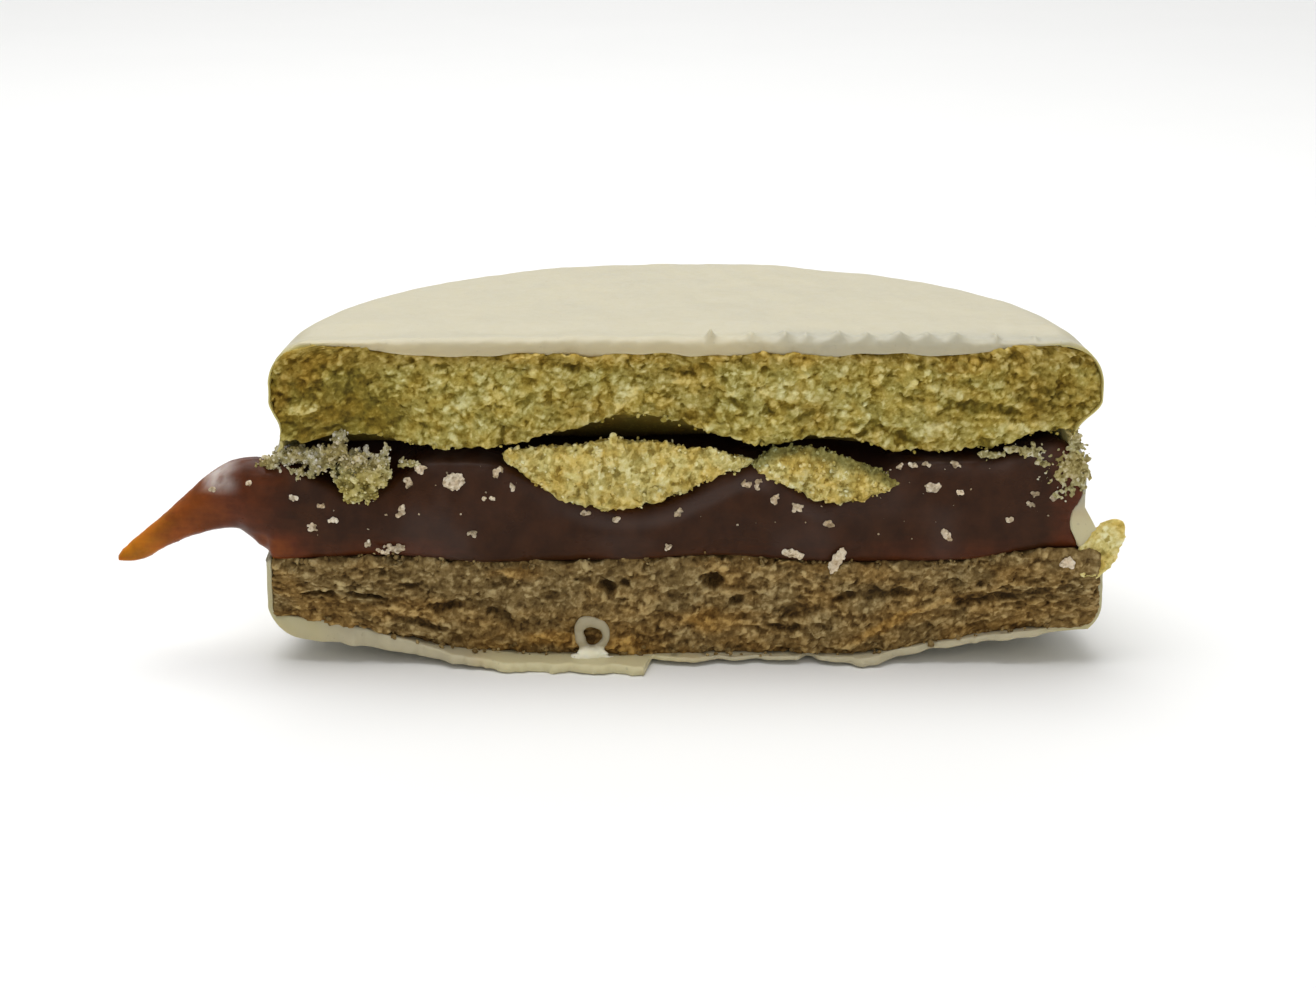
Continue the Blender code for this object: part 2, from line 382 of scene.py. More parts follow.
@dataclass
class Form:
    """A mesh in the making: corners in mm, faces, and a number trio to paint each corner with."""

    corners: Array
    faces: list
    paint: Optional[Array] = None

    def joined(self, other: "Form") -> "Form":
        """Takes another form in.

        Args:
            other: the other form.

        Returns:
            Both as one form.
        """
        shift = len(self.corners)
        faces = self.faces + [[i + shift for i in face] for face in other.faces]
        paint = None
        if self.paint is not None and other.paint is not None:
            paint = np.vstack([self.paint, other.paint])
        return Form(np.vstack([self.corners, other.corners]), faces, paint)


def facing_out(form: Form) -> Form:
    """Turns a closed form's faces to look outwards.

    Args:
        form: the form; all its faces look the same way, out or in.

    Returns:
        The same form, with faces that look out.
    """
    volume = 0.0
    for face in form.faces:
        a = form.corners[face[0]]
        for i in range(1, len(face) - 1):
            volume += float(np.dot(a, np.cross(form.corners[face[i]], form.corners[face[i + 1]])))
    if volume < 0:
        form.faces = [face[::-1] for face in form.faces]
    return form


def to_mesh(name: str, form: Form) -> Mesh:
    """Writes a form as a Blender mesh in metres, in the solids' frame, shaded smooth.

    Args:
        name: the mesh's name.
        form: the form.

    Returns:
        The mesh.
    """
    mesh = bpy.data.meshes.new(name)
    places = form.corners + np.array([0.0, COOKIE.cut, 0.0])
    mesh.from_pydata(places * MM, [], form.faces)
    mesh.update()
    mesh.shade_smooth()
    return mesh


def vectors(items: bpy.types.bpy_prop_collection, name: str = "co") -> Array:
    """Reads a vector from each corner of a mesh.

    Args:
        items: the mesh's vertices, or its vertex normals.
        name: what the vector is called there.

    Returns:
        One row for each corner.
    """
    flat = np.empty(len(items) * 3, np.float32)
    items.foreach_get(name, flat)
    return flat.reshape(-1, 3).astype(float)


def cavity(mesh: Mesh, rounds: int, depth: float) -> Array:
    """How far each corner stands out of its surroundings.

    Args:
        mesh: the mesh, in metres.
        rounds: how many times the surroundings are averaged.
        depth: the depth in mm that counts as a full pit or tip.

    Returns:
        0 in a pit, 0.5 on even ground and 1 on a tip, for each corner.
    """
    ends = np.empty(len(mesh.edges) * 2, np.int32)
    mesh.edges.foreach_get("vertices", ends)
    first, second = ends.reshape(-1, 2).T
    count = np.bincount(ends, minlength=len(mesh.vertices)).astype(float)
    own = vectors(mesh.vertices)
    even = own.copy()
    for _ in range(rounds):
        total = np.zeros_like(even)
        for axis in range(3):
            total[:, axis] += np.bincount(first, even[second, axis], len(even))
            total[:, axis] += np.bincount(second, even[first, axis], len(even))
        even = (1 - PULL) * even + PULL * total / count[:, None]
    stands = ((own - even) * vectors(mesh.vertex_normals, "vector")).sum(axis=1) / (depth * MM)
    return np.clip(0.5 + 0.5 * stands, 0, 1)


def hoops(rings: int, around: int, closed: bool) -> list:
    """Lists the faces between neighbouring rings of corners.

    Args:
        rings: the number of rings.
        around: the number of corners in a ring.
        closed: whether the last ring meets the first.

    Returns:
        The faces.
    """
    faces = []
    for ring in range(rings if closed else rings - 1):
        near, far = ring * around, (ring + 1) % rings * around
        for k in range(around):
            nxt = (k + 1) % around
            faces.append([near + k, near + nxt, far + nxt, far + k])
    return faces


@dataclass(frozen=True)
class RingStack:
    """A closed surface of a first cap, rings of corners and a last cap.

    Every ring is the outline of a grid of across by up cells. A ring may take only every
    few of the grid's corners, which is how a dense face meets coarse hidden ones.
    """

    across: int
    up: int
    steps: tuple[int, ...]

    def outline(self, step: int) -> list[tuple[int, int]]:
        """The grid places round one ring, in order.

        Args:
            step: the ring takes every so many of the grid's corners.

        Returns:
            The (column, row) of each of its corners.
        """
        bottom = [(i, 0) for i in range(0, self.across, step)]
        right = [(self.across, k) for k in range(0, self.up, step)]
        top = [(i, self.up) for i in range(self.across, 0, -step)]
        left = [(0, k) for k in range(self.up, 0, -step)]
        return bottom + right + top + left

    def build(self) -> tuple[Array, list]:
        """Works out the corners' places and the faces.

        Returns:
            An array of (column, row, ring) for each corner, and the list of faces.
        """
        places: list[tuple[int, int, int]] = []
        faces: list[list[int]] = []
        rings: list[list[int]] = []
        for ring, step in enumerate(self.steps):
            start = len(places)
            places += [(i, k, ring) for i, k in self.outline(step)]
            rings.append(list(range(start, len(places))))
        for ring in range(len(self.steps) - 1):
            near, far = rings[ring], rings[ring + 1]
            widest = max(self.steps[ring], self.steps[ring + 1])
            spans = [widest // self.steps[ring], widest // self.steps[ring + 1]]
            for j in range(len(near) // spans[0]):
                here = [near[(j * spans[0] + n) % len(near)] for n in range(spans[0] + 1)]
                there = [far[(j * spans[1] + n) % len(far)] for n in range(spans[1] + 1)]
                faces.append(here[::-1] + there)
        for ring, turn in ((0, 1), (len(self.steps) - 1, -1)):
            faces += self._cap(places, rings[ring], ring, turn)
        return np.array(places), faces

    def _cap(self, places: list, ids: list[int], ring: int, turn: int) -> list:
        """Fills the grid inside a ring.

        Args:
            places: the corners' places so far; the cap's own are added.
            ids: the numbers of the ring's corners.
            ring: the ring's number.
            turn: 1 or -1, for the way the faces look.

        Returns:
            The cap's faces.
        """
        step = self.steps[ring]
        known = dict(zip(self.outline(step), ids))
        for i in range(step, self.across, step):
            for k in range(step, self.up, step):
                known[i, k] = len(places)
                places.append((i, k, ring))
        faces = []
        for i in range(0, self.across, step):
            for k in range(0, self.up, step):
                corners = ((i, k), (i + step, k), (i + step, k + step), (i, k + step))
                faces.append([known[corner] for corner in corners[::turn]])
        return faces


def half_disc(
    across: Array, back: Array, share: Array, low: Surface, high: Surface,
    radius: Callable[[Array], Array], front: Surface,
) -> Array:
    """Lays corners of a block out on a half disc between two surfaces.

    Args:
        across: from -1 to 1, left to right.
        back: from 0 on the cut to 1 on the round side.
        share: from 0 on the lower surface to 1 on the upper one.
        low: level of the lower surface at (x, y).
        high: level of the upper surface at (x, y).
        radius: radius at a level.
        front: how far behind y = 0 the cut face lies at (x, level).

    Returns:
        The corners, laid out straight.
    """
    plan_x = across * np.sqrt(1 - back * back / 2)
    plan_y = back * np.sqrt(1 - across * across / 2)
    x = np.zeros_like(across)
    y = np.zeros_like(across)
    for _ in range(PASSES):
        bottom = low(x, y)
        level = bottom + share * (high(x, y) - bottom)
        reach = radius(level)
        y = plan_y * reach + front(plan_x * reach, level) * (1 - back) ** 2
        room = np.maximum(1 - plan_y * plan_y, 1e-6)
        chord = np.sqrt(np.maximum(1 - (y / reach) ** 2, 0) / room)
        x = plan_x * reach * np.where(plan_y < 0.999, chord, 1.0)
    return np.column_stack([x, y, level])


# --- grains and crumb relief


@dataclass(frozen=True)
class GrainSort:
    """One sort of grain on a broken face; sizes in mm."""

    per_square: float
    least: float
    most: float
    height: float
    lift: float
    stretch: float


@dataclass(frozen=True)
class Feature:
    """A hole, lump or patch of a broken face: where it is, how it is tilted and what it does there.

    Places, half sizes and the rise are in mm and the tilt in degrees; a hole has a rise below 0, and a pale
    below 0 there paints shade into it.
    """

    x: float
    z: float
    half_x: float
    half_z: float
    rise: float = 0.0
    tilt: float = 0.0
    pale: float = 0.0
    gold: float = 0.0


@dataclass
class CrumbRelief:
    """The crumbly relief of a broken face, kept on a fine grid over x and z."""

    low: float
    high: float
    sorts: tuple[GrainSort, ...]
    features: tuple[Feature, ...]
    zone_at: Surface
    hollow_size: tuple[float, float]
    hollow_depth: float
    rough: float
    seed: int
    left: float = -COOKIE.radius
    right: float = COOKIE.radius
    pitch: float = 0.06
    spread: float = 0.4
    full_cavity: float = 0.42

    def __post_init__(self) -> None:
        """Works the grid out."""
        columns = int((self.right - self.left) / self.pitch) + 1
        rows = int((self.high - self.low) / self.pitch) + 1
        self.x = self.left + self.pitch * np.arange(columns)[:, None] + np.zeros((1, rows))
        self.z = self.low + self.pitch * np.arange(rows)[None, :] + np.zeros((columns, 1))
        self.rng = np.random.default_rng(self.seed)
        self.flat = on_face(self.x, self.z)
        self.warp_x = self.x + 0.20 * self._cloud(0.6, 0) + 0.07 * self._cloud(0.2, 3)
        self.warp_z = self.z + 0.20 * self._cloud(0.6, 1) + 0.07 * self._cloud(0.2, 4)
        self.height = 0.16 * self._cloud(2.4, 2) - 0.25
        self.tint = 0.4 + 0.1 * self._cloud(1.2, 5)
        self.zone = self.zone_at(self.x, self.z)
        for sort in self.sorts:
            self._scatter(sort)
        self.height += self.rough * self._cloud(0.28, 6)
        self._hollow_out()
        # The cavity is painted shade: the finish darkens the face where it lies below its surroundings and
        # lightens its tips.
        relief = self.height - self._blurred(self.height, self.spread)
        self.cavity = np.clip(0.5 + relief / self.full_cavity, 0, 1)

    def _cloud(self, size: float, kind: int) -> Array:
        """Noise over the grid; each kind is another draw."""
        return Noise(self.seed + kind).fractal(self.flat + 60 * kind, size, 2).reshape(self.x.shape)

    def _scatter(self, sort: GrainSort) -> None:
        """Heaps one sort of grain over what is there.

        Args:
            sort: the sort of grain.
        """
        area = (self.right - self.left) * (self.high - self.low)
        count = int(area * sort.per_square)
        below = self.height.copy()
        places = self.rng.random((count, 2))
        sizes = sort.least + (sort.most - sort.least) * self.rng.random(count) ** 1.6
        turns = self.rng.normal(0, 0.5, count)
        lifts = self.rng.random(count) * sort.lift
        tints = np.clip(self.rng.normal(0.5, 0.24, count), 0, 1)
        columns, rows = self.height.shape
        for place, size, turn, lift, tint in zip(places, sizes, turns, lifts, tints):
            centre_x = self.left + place[0] * (self.right - self.left)
            centre_z = self.low + place[1] * (self.high - self.low)
            long = size * sort.stretch
            reach = int(long / self.pitch) + 4
            i = int((centre_x - self.left) / self.pitch)
            k = int((centre_z - self.low) / self.pitch)
            area_x = slice(max(i - reach, 0), min(i + reach, columns))
            area_z = slice(max(k - reach, 0), min(k + reach, rows))
            off_x = self.warp_x[area_x, area_z] - centre_x
            off_z = self.warp_z[area_x, area_z] - centre_z
            cos, sin = math.cos(turn), math.sin(turn)
            along = (off_x * cos + off_z * sin) / long
            across = (off_z * cos - off_x * sin) / size
            inside = 1 - along * along - across * across
            base = below[min(i, columns - 1), min(k, rows - 1)]
            cap = base + lift + sort.height * size * (np.sqrt(np.maximum(inside, 0)) - 0.35)
            here = self.height[area_x, area_z]
            wins = (inside > 0) & (cap > here)
            here[wins] = cap[wins]
            self.tint[area_x, area_z][wins] = tint

    def _hollow_out(self) -> None:
        """Sinks the soft hollows and applies the named features."""
        stretched = self.flat / np.array([self.hollow_size[0], self.hollow_size[1], 1.0])
        depth = Noise(self.seed + 9).fractal(stretched, 1.0, 3).reshape(self.x.shape)
        self.height -= self.hollow_depth * rise(depth, 0.1, 0.55)
        sway = 0.55 * self._cloud(1.3, 7)
        for item in self.features:
            turn = math.radians(item.tilt)
            off_x, off_z = self.warp_x + sway - item.x, self.warp_z + 0.6 * sway - item.z
            along = (off_x * math.cos(turn) + off_z * math.sin(turn)) / item.half_x
            across = (off_z * math.cos(turn) - off_x * math.sin(turn)) / item.half_z
            inside = smooth(1.3 - np.hypot(along, across))
            self.height += item.rise * inside
            # A hole's pale below 0 paints shade into it.
            self.tint += item.pale * inside
            self.zone = self.zone + item.gold * inside

    def _blurred(self, field: Array, size: float) -> Array:
        """Smooths a field.

        Args:
            field: one number for each corner of the grid.
            size: the distance in mm that it is smoothed over.

        Returns:
            The smoothed field.
        """
        waves_x = np.fft.fftfreq(field.shape[0], self.pitch)[:, None]
        waves_z = np.fft.rfftfreq(field.shape[1], self.pitch)[None, :]
        fade = np.exp(-2 * (np.pi * size) ** 2 * (waves_x ** 2 + waves_z ** 2))
        return np.fft.irfft2(np.fft.rfft2(field) * fade, s=field.shape)

    def sample(self, field: Array, x: Array, z: Array) -> Array:
        """Reads a field at places between the grid's corners.

        Args:
            field: one number for each corner of the grid.
            x: the places along the cut, in mm.
            z: their levels, in mm.

        Returns:
            The field's value at each place.
        """
        column = np.clip((x - self.left) / self.pitch, 0, field.shape[0] - 1.001)
        row = np.clip((z - self.low) / self.pitch, 0, field.shape[1] - 1.001)
        i, k = column.astype(int), row.astype(int)
        part_i, part_k = column - i, row - k
        lower = field[i, k] * (1 - part_i) + field[i + 1, k] * part_i
        upper = field[i, k + 1] * (1 - part_i) + field[i + 1, k + 1] * part_i
        return lower * (1 - part_k) + upper * part_k


def round_grain() -> tuple[Array, list]:
    """Makes the ball of radius 1 that every grain starts from.

    Returns:
        Its corners and faces.
    """
    ball = bmesh.new()
    bmesh.ops.create_icosphere(ball, subdivisions=2, radius=1.0)
    corners = np.array([list(corner.co) for corner in ball.verts])
    faces = [[corner.index for corner in face.verts] for face in ball.faces]
    ball.free()
    return corners, faces


class GrainPile:
    """Small rough grains gathered one by one into a form."""

    def __init__(self, seed: int) -> None:
        """Starts an empty pile.

        Args:
            seed: the seed of its own random numbers.
        """
        self.rng = np.random.default_rng(seed)
        self.noise = Noise(seed)
        self.centres: list[Array] = []
        self.sizes: list[Array] = []
        self.tints: list[float] = []

    def add(self, centre: Sequence[float], size: Sequence[float], tint: float) -> None:
        """Adds a grain.

        Args:
            centre: its middle, in mm.
            size: its three half sizes, in mm.
            tint: how pale it is, from 0 to 1.
        """
        self.centres.append(np.array(centre, float))
        self.sizes.append(np.array(size, float))
        self.tints.append(float(np.clip(tint, 0, 1)))

    def heap(self, centre: Sequence[float], spread: Sequence[float], count: int, size: float) -> None:
        """Adds a loose heap of grains.

        Args:
            centre: its middle, in mm.
            spread: how far it reaches along x, y and z, in mm.
            count: how many grains.
            size: the half size of a middling grain, in mm.
        """
        for _ in range(count):
            way = self.rng.normal(0, 0.5, 3)
            way = way / max(1.0, float(np.linalg.norm(way)))
            grain = size * (0.55 + 0.9 * self.rng.random())
            place_at = np.array(centre) + way * np.array(spread)
            self.add(place_at, grain * (0.7 + 0.6 * self.rng.random(3)), self.rng.normal(0.55, 0.22))

    def form(self, tumble: bool = True) -> Form:
        """Makes the grains.

        Args:
            tumble: whether each grain is turned at random.

        Returns:
            All the grains as one form, each a closed lump.
        """
        ball, faces = round_grain()
        count, around = len(self.centres), len(ball)
        sizes = np.array(self.sizes)[:, None, :]
        centres = np.array(self.centres)[:, None, :]
        shift = self.rng.random((count, 1, 3)) * 90
        rough = self.noise.fractal((ball[None] * 1.5 + shift).reshape(-1, 3), 1.0, 2)
        corners = ball[None] * (1 + 0.5 * rough.reshape(count, around, 1)) * sizes
        if tumble:
            corners = np.einsum("nij,nvj->nvi", self._turns(count), corners)
        corners = (corners + centres).reshape(-1, 3)
        table = np.array(faces)[None] + (np.arange(count) * around)[:, None, None]
        tints = np.repeat(self.tints, around)
        # The second mark runs from 0 to 1 up each unturned ball; crumb finishes read that mark as painted
        # shade.
        marks = np.column_stack([tints, 0.5 + 0.5 * np.tile(ball[:, 2], count), np.zeros(len(tints))])
        return Form(corners, table.reshape(-1, 3).tolist(), marks)

    def _turns(self, count: int) -> Array:
        """Draws random rotations.

        Args:
            count: how many.

        Returns:
            Their matrices, one after another.
        """
        q = self.rng.normal(size=(count, 4))
        w, x, y, z = (q / np.linalg.norm(q, axis=1)[:, None]).T
        rows = [
            [1 - 2 * (y * y + z * z), 2 * (x * y - z * w), 2 * (x * z + y * w)],
            [2 * (x * y + z * w), 1 - 2 * (x * x + z * z), 2 * (y * z - x * w)],
            [2 * (x * z - y * w), 2 * (y * z + x * w), 1 - 2 * (x * x + y * y)],
        ]
        return np.array(rows).transpose(2, 0, 1)

    def nearest_tints(self, places: Array) -> Array:
        """Finds the grain nearest to each place.

        Args:
            places: the places, in mm.

        Returns:
            The grains' tints.
        """
        tree = KDTree(len(self.centres))
        for number, centre in enumerate(self.centres):
            tree.insert(Vector(centre), number)
        tree.balance()
        return np.array([self.tints[tree.find(Vector(at))[1]] for at in places])


def melted(form: Form, voxel: float) -> Form:
    """Fuses the closed lumps of a form into one skin.

    Args:
        form: the lumps, which overlap one another, in mm.
        voxel: the size of the new faces, in mm.

    Returns:
        The fused form.
    """
    mesh = bpy.data.meshes.new("lumps")
    mesh.from_pydata(form.corners, [], form.faces)
    lumps = bpy.data.objects.new("lumps", mesh)
    bpy.context.scene.collection.objects.link(lumps)
    fuse = lumps.modifiers.new("fuse", "REMESH")
    fuse.mode = "VOXEL"
    fuse.voxel_size = voxel
    graph = bpy.context.evaluated_depsgraph_get()
    skin = bpy.data.meshes.new_from_object(lumps.evaluated_get(graph))
    corners = vectors(skin.vertices)
    faces = [list(face.vertices) for face in skin.polygons]
    bpy.data.objects.remove(lumps)
    bpy.data.meshes.remove(mesh)
    bpy.data.meshes.remove(skin)
    return Form(corners, faces)


def eased(form: Form, rounds: int, share: float = 0.5) -> Form:
    """Smooths a form by drawing its corners towards the middle of their neighbours.

    Args:
        form: the form.
        rounds: how many times that is done.
        share: how much of the way a corner goes each time.

    Returns:
        The smoothed form.
    """
    ends = np.array([(a, b) for face in form.faces for a, b in zip(face, face[1:] + face[:1])])
    count = np.bincount(ends[:, 0], minlength=len(form.corners)).astype(float)[:, None]
    corners = form.corners.copy()
    for _ in range(rounds):
        total = np.column_stack(
            [np.bincount(ends[:, 0], corners[ends[:, 1], axis], len(corners)) for axis in range(3)]
        )
        corners = (1 - share) * corners + share * total / count
    return Form(corners, form.faces, form.paint)


# --- finishes


class Slot(Enum):
    """The record's material slots."""

    COATING = "coating"
    UPPER = "upper_biscuit"
    LOWER = "lower_biscuit"
    BROKEN = "broken_biscuit"
    CARAMEL = "caramel"


MIX_FIRST, MIX_SECOND, MIX_RESULT = 6, 7, 2  # the mix node's colour sockets


class Bench:
    """A material's nodes, laid out by short calls. Places are in mm."""

    def __init__(self, name: str) -> None:
        """Starts a material with a single shader.

        Args:
            name: the material's name.
        """
        self.material = bpy.data.materials.new(name)
        self.material.use_nodes = True
        self.tree = self.material.node_tree
        self.shader = self.tree.nodes["Principled BSDF"]
        where = self.add("ShaderNodeTexCoord")
        scale = self.add("ShaderNodeVectorMath", operation="SCALE")
        scale.inputs["Scale"].default_value = 1 / MM
        self.link(where.outputs["Object"], scale.inputs[0])
        self.place = scale.outputs[0]

    def add(self, kind: str, **settings: object) -> bpy.types.Node:
        """Adds a node.

        Args:
            kind: Blender's word for it.
            settings: its options, by name.

        Returns:
            The node.
        """
        node = self.tree.nodes.new(kind)
        for option, value in settings.items():
            setattr(node, option, value)
        return node

    def link(self, source: Socket, target: Socket) -> None:
        """Joins two sockets."""
        self.tree.links.new(source, target)

    def put(self, value: object, target: Socket) -> None:
        """Gives a socket its value.

        Args:
            value: a socket to link, a number or a colour.
            target: the socket that takes it.
        """
        if isinstance(value, Socket):
            self.link(value, target)
        elif isinstance(value, tuple):
            target.default_value = (*value, 1.0)
        else:
            target.default_value = value

    def set(self, **values: object) -> None:
        """Sets or links the shader's sockets.

        Args:
            values: a value for each, with underscores for spaces in its name.
        """
        for name, value in values.items():
            socket = self.shader.inputs[name.replace("_", " ")]
            if isinstance(value, tuple) and socket.type == "VECTOR":
                socket.default_value = value
            else:
                self.put(value, socket)

    def noise(self, size: float, detail: float = 2.0, stretch: Trio = (1, 1, 1)) -> Socket:
        """Cloudy noise.

        Args:
            size: how far apart its hills are, in mm.
            detail: how many finer layers it has.
            stretch: how much the hills are longer along x, y and z.

        Returns:
            A socket with values about 0.5.
        """
        scale = self.add("ShaderNodeVectorMath", operation="DIVIDE")
        self.link(self.place, scale.inputs[0])
        scale.inputs[1].default_value = stretch
        cloud = self.add("ShaderNodeTexNoise")
        self.link(scale.outputs[0], cloud.inputs["Vector"])
        cloud.inputs["Scale"].default_value = 1 / size
        cloud.inputs["Detail"].default_value = detail
        cloud.inputs["Roughness"].default_value = 0.6
        return cloud.outputs["Fac"]

    def marks(self) -> list[Socket]:
        """Reads the numbers painted on the mesh.

        Returns:
            Their three sockets.
        """
        read = self.add("ShaderNodeAttribute", attribute_name="marks")
        parts = self.add("ShaderNodeSeparateColor")
        self.link(read.outputs["Color"], parts.inputs[0])
        return list(parts.outputs)[:3]

    def math(self, operation: str, first: object, second: object = 0.0) -> Socket:
        """A sum, kept from 0 to 1.

        Args:
            operation: the sum, in Blender's word.
            first: a number or a socket.
            second: another.

        Returns:
            The result's socket.
        """
        node = self.add("ShaderNodeMath", operation=operation, use_clamp=True)
        self.put(first, node.inputs[0])
        self.put(second, node.inputs[1])
        return node.outputs[0]

    def between(self, value: object, low: float, high: float, least: float = 0, most: float = 1) -> Socket:
        """A number that goes from least to most as value goes from low to high.

        Args:
            value: a number or a socket.
            low: where value starts to count.
            high: where it stops.
            least: the result up to low.
            most: the result from high on.

        Returns:
            The result's socket.
        """
        node = self.add("ShaderNodeMapRange", clamp=True)
        self.put(value, node.inputs["Value"])
        for name, number in zip(("From Min", "From Max", "To Min", "To Max"), (low, high, least, most)):
            node.inputs[name].default_value = number
        return node.outputs["Result"]

    def mixed(self, share: object, first: object, second: object, blend: str = "MIX") -> Socket:
        """Two colours mixed.

        Args:
            share: 0 for the first colour alone, 1 for the second.
            first: a colour or a socket.
            second: another.
            blend: how the second goes on the first.

        Returns:
            The mixed colour's socket.
        """
        node = self.add("ShaderNodeMix", data_type="RGBA", blend_type=blend)
        self.put(share, node.inputs["Factor"])
        self.put(first, node.inputs[MIX_FIRST])
        self.put(second, node.inputs[MIX_SECOND])
        return node.outputs[MIX_RESULT]

    def ramp(self, value: object, stops: Sequence[tuple[float, Colour]]) -> Socket:
        """A colour that changes with a value.

        Args:
            value: the value's socket.
            stops: values from 0 to 1 with their colours, in order.

        Returns:
            The colour's socket.
        """
        node = self.add("ShaderNodeValToRGB")
        self.put(value, node.inputs[0])
        points = node.color_ramp.elements
        while len(points) < len(stops):
            points.new(0.5)
        for point, (position, colour) in zip(points, stops):
            point.position = position
            point.color = (*colour, 1.0)
        return node.outputs["Color"]

    def relief(self, height: Socket, depth: float, strength: float = 1.0) -> None:
        """Roughens the shading.

        Args:
            height: the socket of a height map.
            depth: its full depth in mm.
            strength: how much of it shows, from 0 to 1.
        """
        node = self.add("ShaderNodeBump")
        node.inputs["Strength"].default_value = strength
        node.inputs["Distance"].default_value = depth * MM
        self.link(height, node.inputs["Height"])
        self.link(node.outputs[0], self.shader.inputs["Normal"])


@dataclass(frozen=True)
class CrumbFinish:
    """Broken biscuit: dark in its pits, a painted shade, pale on its grains, browner in its toasted zones."""

    name: str
    deep: Colour
    dark: Colour
    body: Colour
    light: Colour
    toast: Colour
    patch: Colour = (1.0, 0.9, 0.7)
    roughness: float = 0.9

    def build(self) -> bpy.types.Material:
        """Makes the material.

        Returns:
            The new material.
        """
        bench = Bench(self.name)
        tint, hollow, zone = bench.marks()
        cloud = bench.noise(0.8, 3)
        speck = bench.noise(0.22, 3)
        # The hollow mark paints shade into pits and makes tips lighter.
        value = bench.math("MULTIPLY", hollow, 0.42)
        value = bench.math("ADD", value, bench.between(tint, 0, 1, 0, 0.46))
        value = bench.math("ADD", value, bench.between(cloud, 0.3, 0.7, -0.06, 0.14))
        value = bench.math("ADD", value, bench.between(speck, 0.3, 0.7, -0.07, 0.1))
        stops = ((0.1, self.deep), (0.32, self.dark), (0.55, self.body), (0.85, self.light))
        colour = bench.ramp(value, stops)
        patches = bench.between(bench.noise(1.7, 2), 0.42, 0.62)
        colour = bench.mixed(patches, colour, self.patch, "MULTIPLY")
        colour = bench.mixed(bench.math("MULTIPLY", zone, 0.9), colour, self.toast, "MULTIPLY")
        bench.set(Base_Color=colour, Roughness=self.roughness, Specular_IOR_Level=0.2)
        bench.set(Subsurface_Weight=0.1, Subsurface_Radius=(1.0, 0.8, 0.35), Subsurface_Scale=0.5 * MM)
        bench.relief(bench.noise(0.16, 3), 0.05, 0.4)
        return bench.material


@dataclass(frozen=True)
class CaramelFinish:
    """Dark, glossy caramel, redder and then amber where it is thin, with a painted sheen and a painted
    highlight on the tail's top.
    """

    name: str = "dark_caramel"
    thick: Colour = (0.050, 0.0175, 0.0062)
    red: Colour = (0.125, 0.030, 0.009)
    orange: Colour = (0.29, 0.074, 0.011)
    amber: Colour = (0.52, 0.19, 0.010)

    def build(self) -> bpy.types.Material:
        """Makes the material.

        Returns:
            The new material.
        """
        bench = Bench(self.name)
        thin, painted_sheen, painted_highlight = bench.marks()
        streak = bench.noise(0.8, 3, (6.0, 1.0, 0.8))
        value = bench.math("ADD", thin, bench.between(streak, 0.3, 0.7, -0.04, 0.06))
        stops = ((0.05, self.thick), (0.4, self.red), (0.68, self.orange), (0.95, self.amber))
        colour = bench.ramp(value, stops)
        shade = bench.between(bench.noise(1.6, 4, (1.0, 1.0, 1.3)), 0.36, 0.64, 0.0, 0.7)
        colour = bench.mixed(shade, colour, (0.5, 0.52, 0.55), "MULTIPLY")
        # Painted sheen: a grey haze mixed in.
        colour = bench.mixed(bench.math("MULTIPLY", painted_sheen, 0.3), colour, (0.12, 0.09, 0.08))
        # Painted highlight: a pale patch on the tail's top.
        colour = bench.mixed(bench.math("MULTIPLY", painted_highlight, 0.85), colour, (0.58, 0.52, 0.48))
        haze = bench.noise(2.4, 3, (2.0, 1.0, 1.0))
        satin = bench.between(haze, 0.3, 0.7, 0.22, 0.42)
        glow = bench.between(thin, 0.2, 1.0, 0.05, 0.55)
        bench.set(Base_Color=colour, Roughness=satin, Specular_IOR_Level=0.12)
        bench.set(Subsurface_Weight=glow, Subsurface_Radius=(1.0, 0.35, 0.08), Subsurface_Scale=1.6 * MM)
        bench.relief(bench.noise(0.7, 3, (1.6, 1.0, 1.0)), 0.05, 0.3)
        return bench.material


@dataclass(frozen=True)
class CoatingFinish:
    """White glaze: cream, greyer where it dips at the waist, stained where the biscuit shows through; painted
    shade greys the lip's right half and painted light brightens the flap.
    """

    name: str = "cream_coating"
    cream: Colour = (0.50, 0.458, 0.318)
    faded: Colour = (0.46, 0.43, 0.322)
    # grey greys the waist and is also the painted shade on the lip's right half.
    grey: Colour = (0.33, 0.335, 0.285)
    stained: Colour = (0.50, 0.43, 0.15)
    edge: Colour = (0.545, 0.46, 0.27)
    # flap is painted light: a colour lighter than the cream, so the shaded flap looks lit.
    flap: Colour = (0.66, 0.61, 0.36)

    def build(self) -> bpy.types.Material:
        """Makes the material.

        Returns:
            The new material.
        """
        bench = Bench(self.name)
        stain, grey, edge = bench.marks()
        cloud = bench.noise(5.0, 3)
        colour = bench.mixed(bench.between(cloud, 0.3, 0.7, 0, 0.35), self.cream, self.faded)
        # Grey at the waist, with the painted shade on the lip's right half.
        colour = bench.mixed(bench.math("MULTIPLY", grey, 0.8), colour, self.grey)
        colour = bench.mixed(bench.between(edge, 0, 0.5), colour, self.edge)
        # Painted light on the flap.
        colour = bench.mixed(bench.between(edge, 0.5, 1), colour, self.flap)
        colour = bench.mixed(stain, colour, self.stained)
        speck = bench.between(bench.noise(0.35, 1), 0.7, 0.76, 0, 0.3)
        colour = bench.mixed(speck, colour, (0.33, 0.29, 0.2))
        satin = bench.between(bench.noise(1.5, 2), 0.3, 0.7, 0.34, 0.5)
        bench.set(Base_Color=colour, Roughness=satin, Specular_IOR_Level=0.45)
        bench.set(Subsurface_Weight=0.3, Subsurface_Radius=(1.0, 0.85, 0.55), Subsurface_Scale=0.9 * MM)
        bench.relief(bench.noise(0.6, 3), 0.03, 0.5)
        return bench.material


Finish = Union[CrumbFinish, CaramelFinish, CoatingFinish]

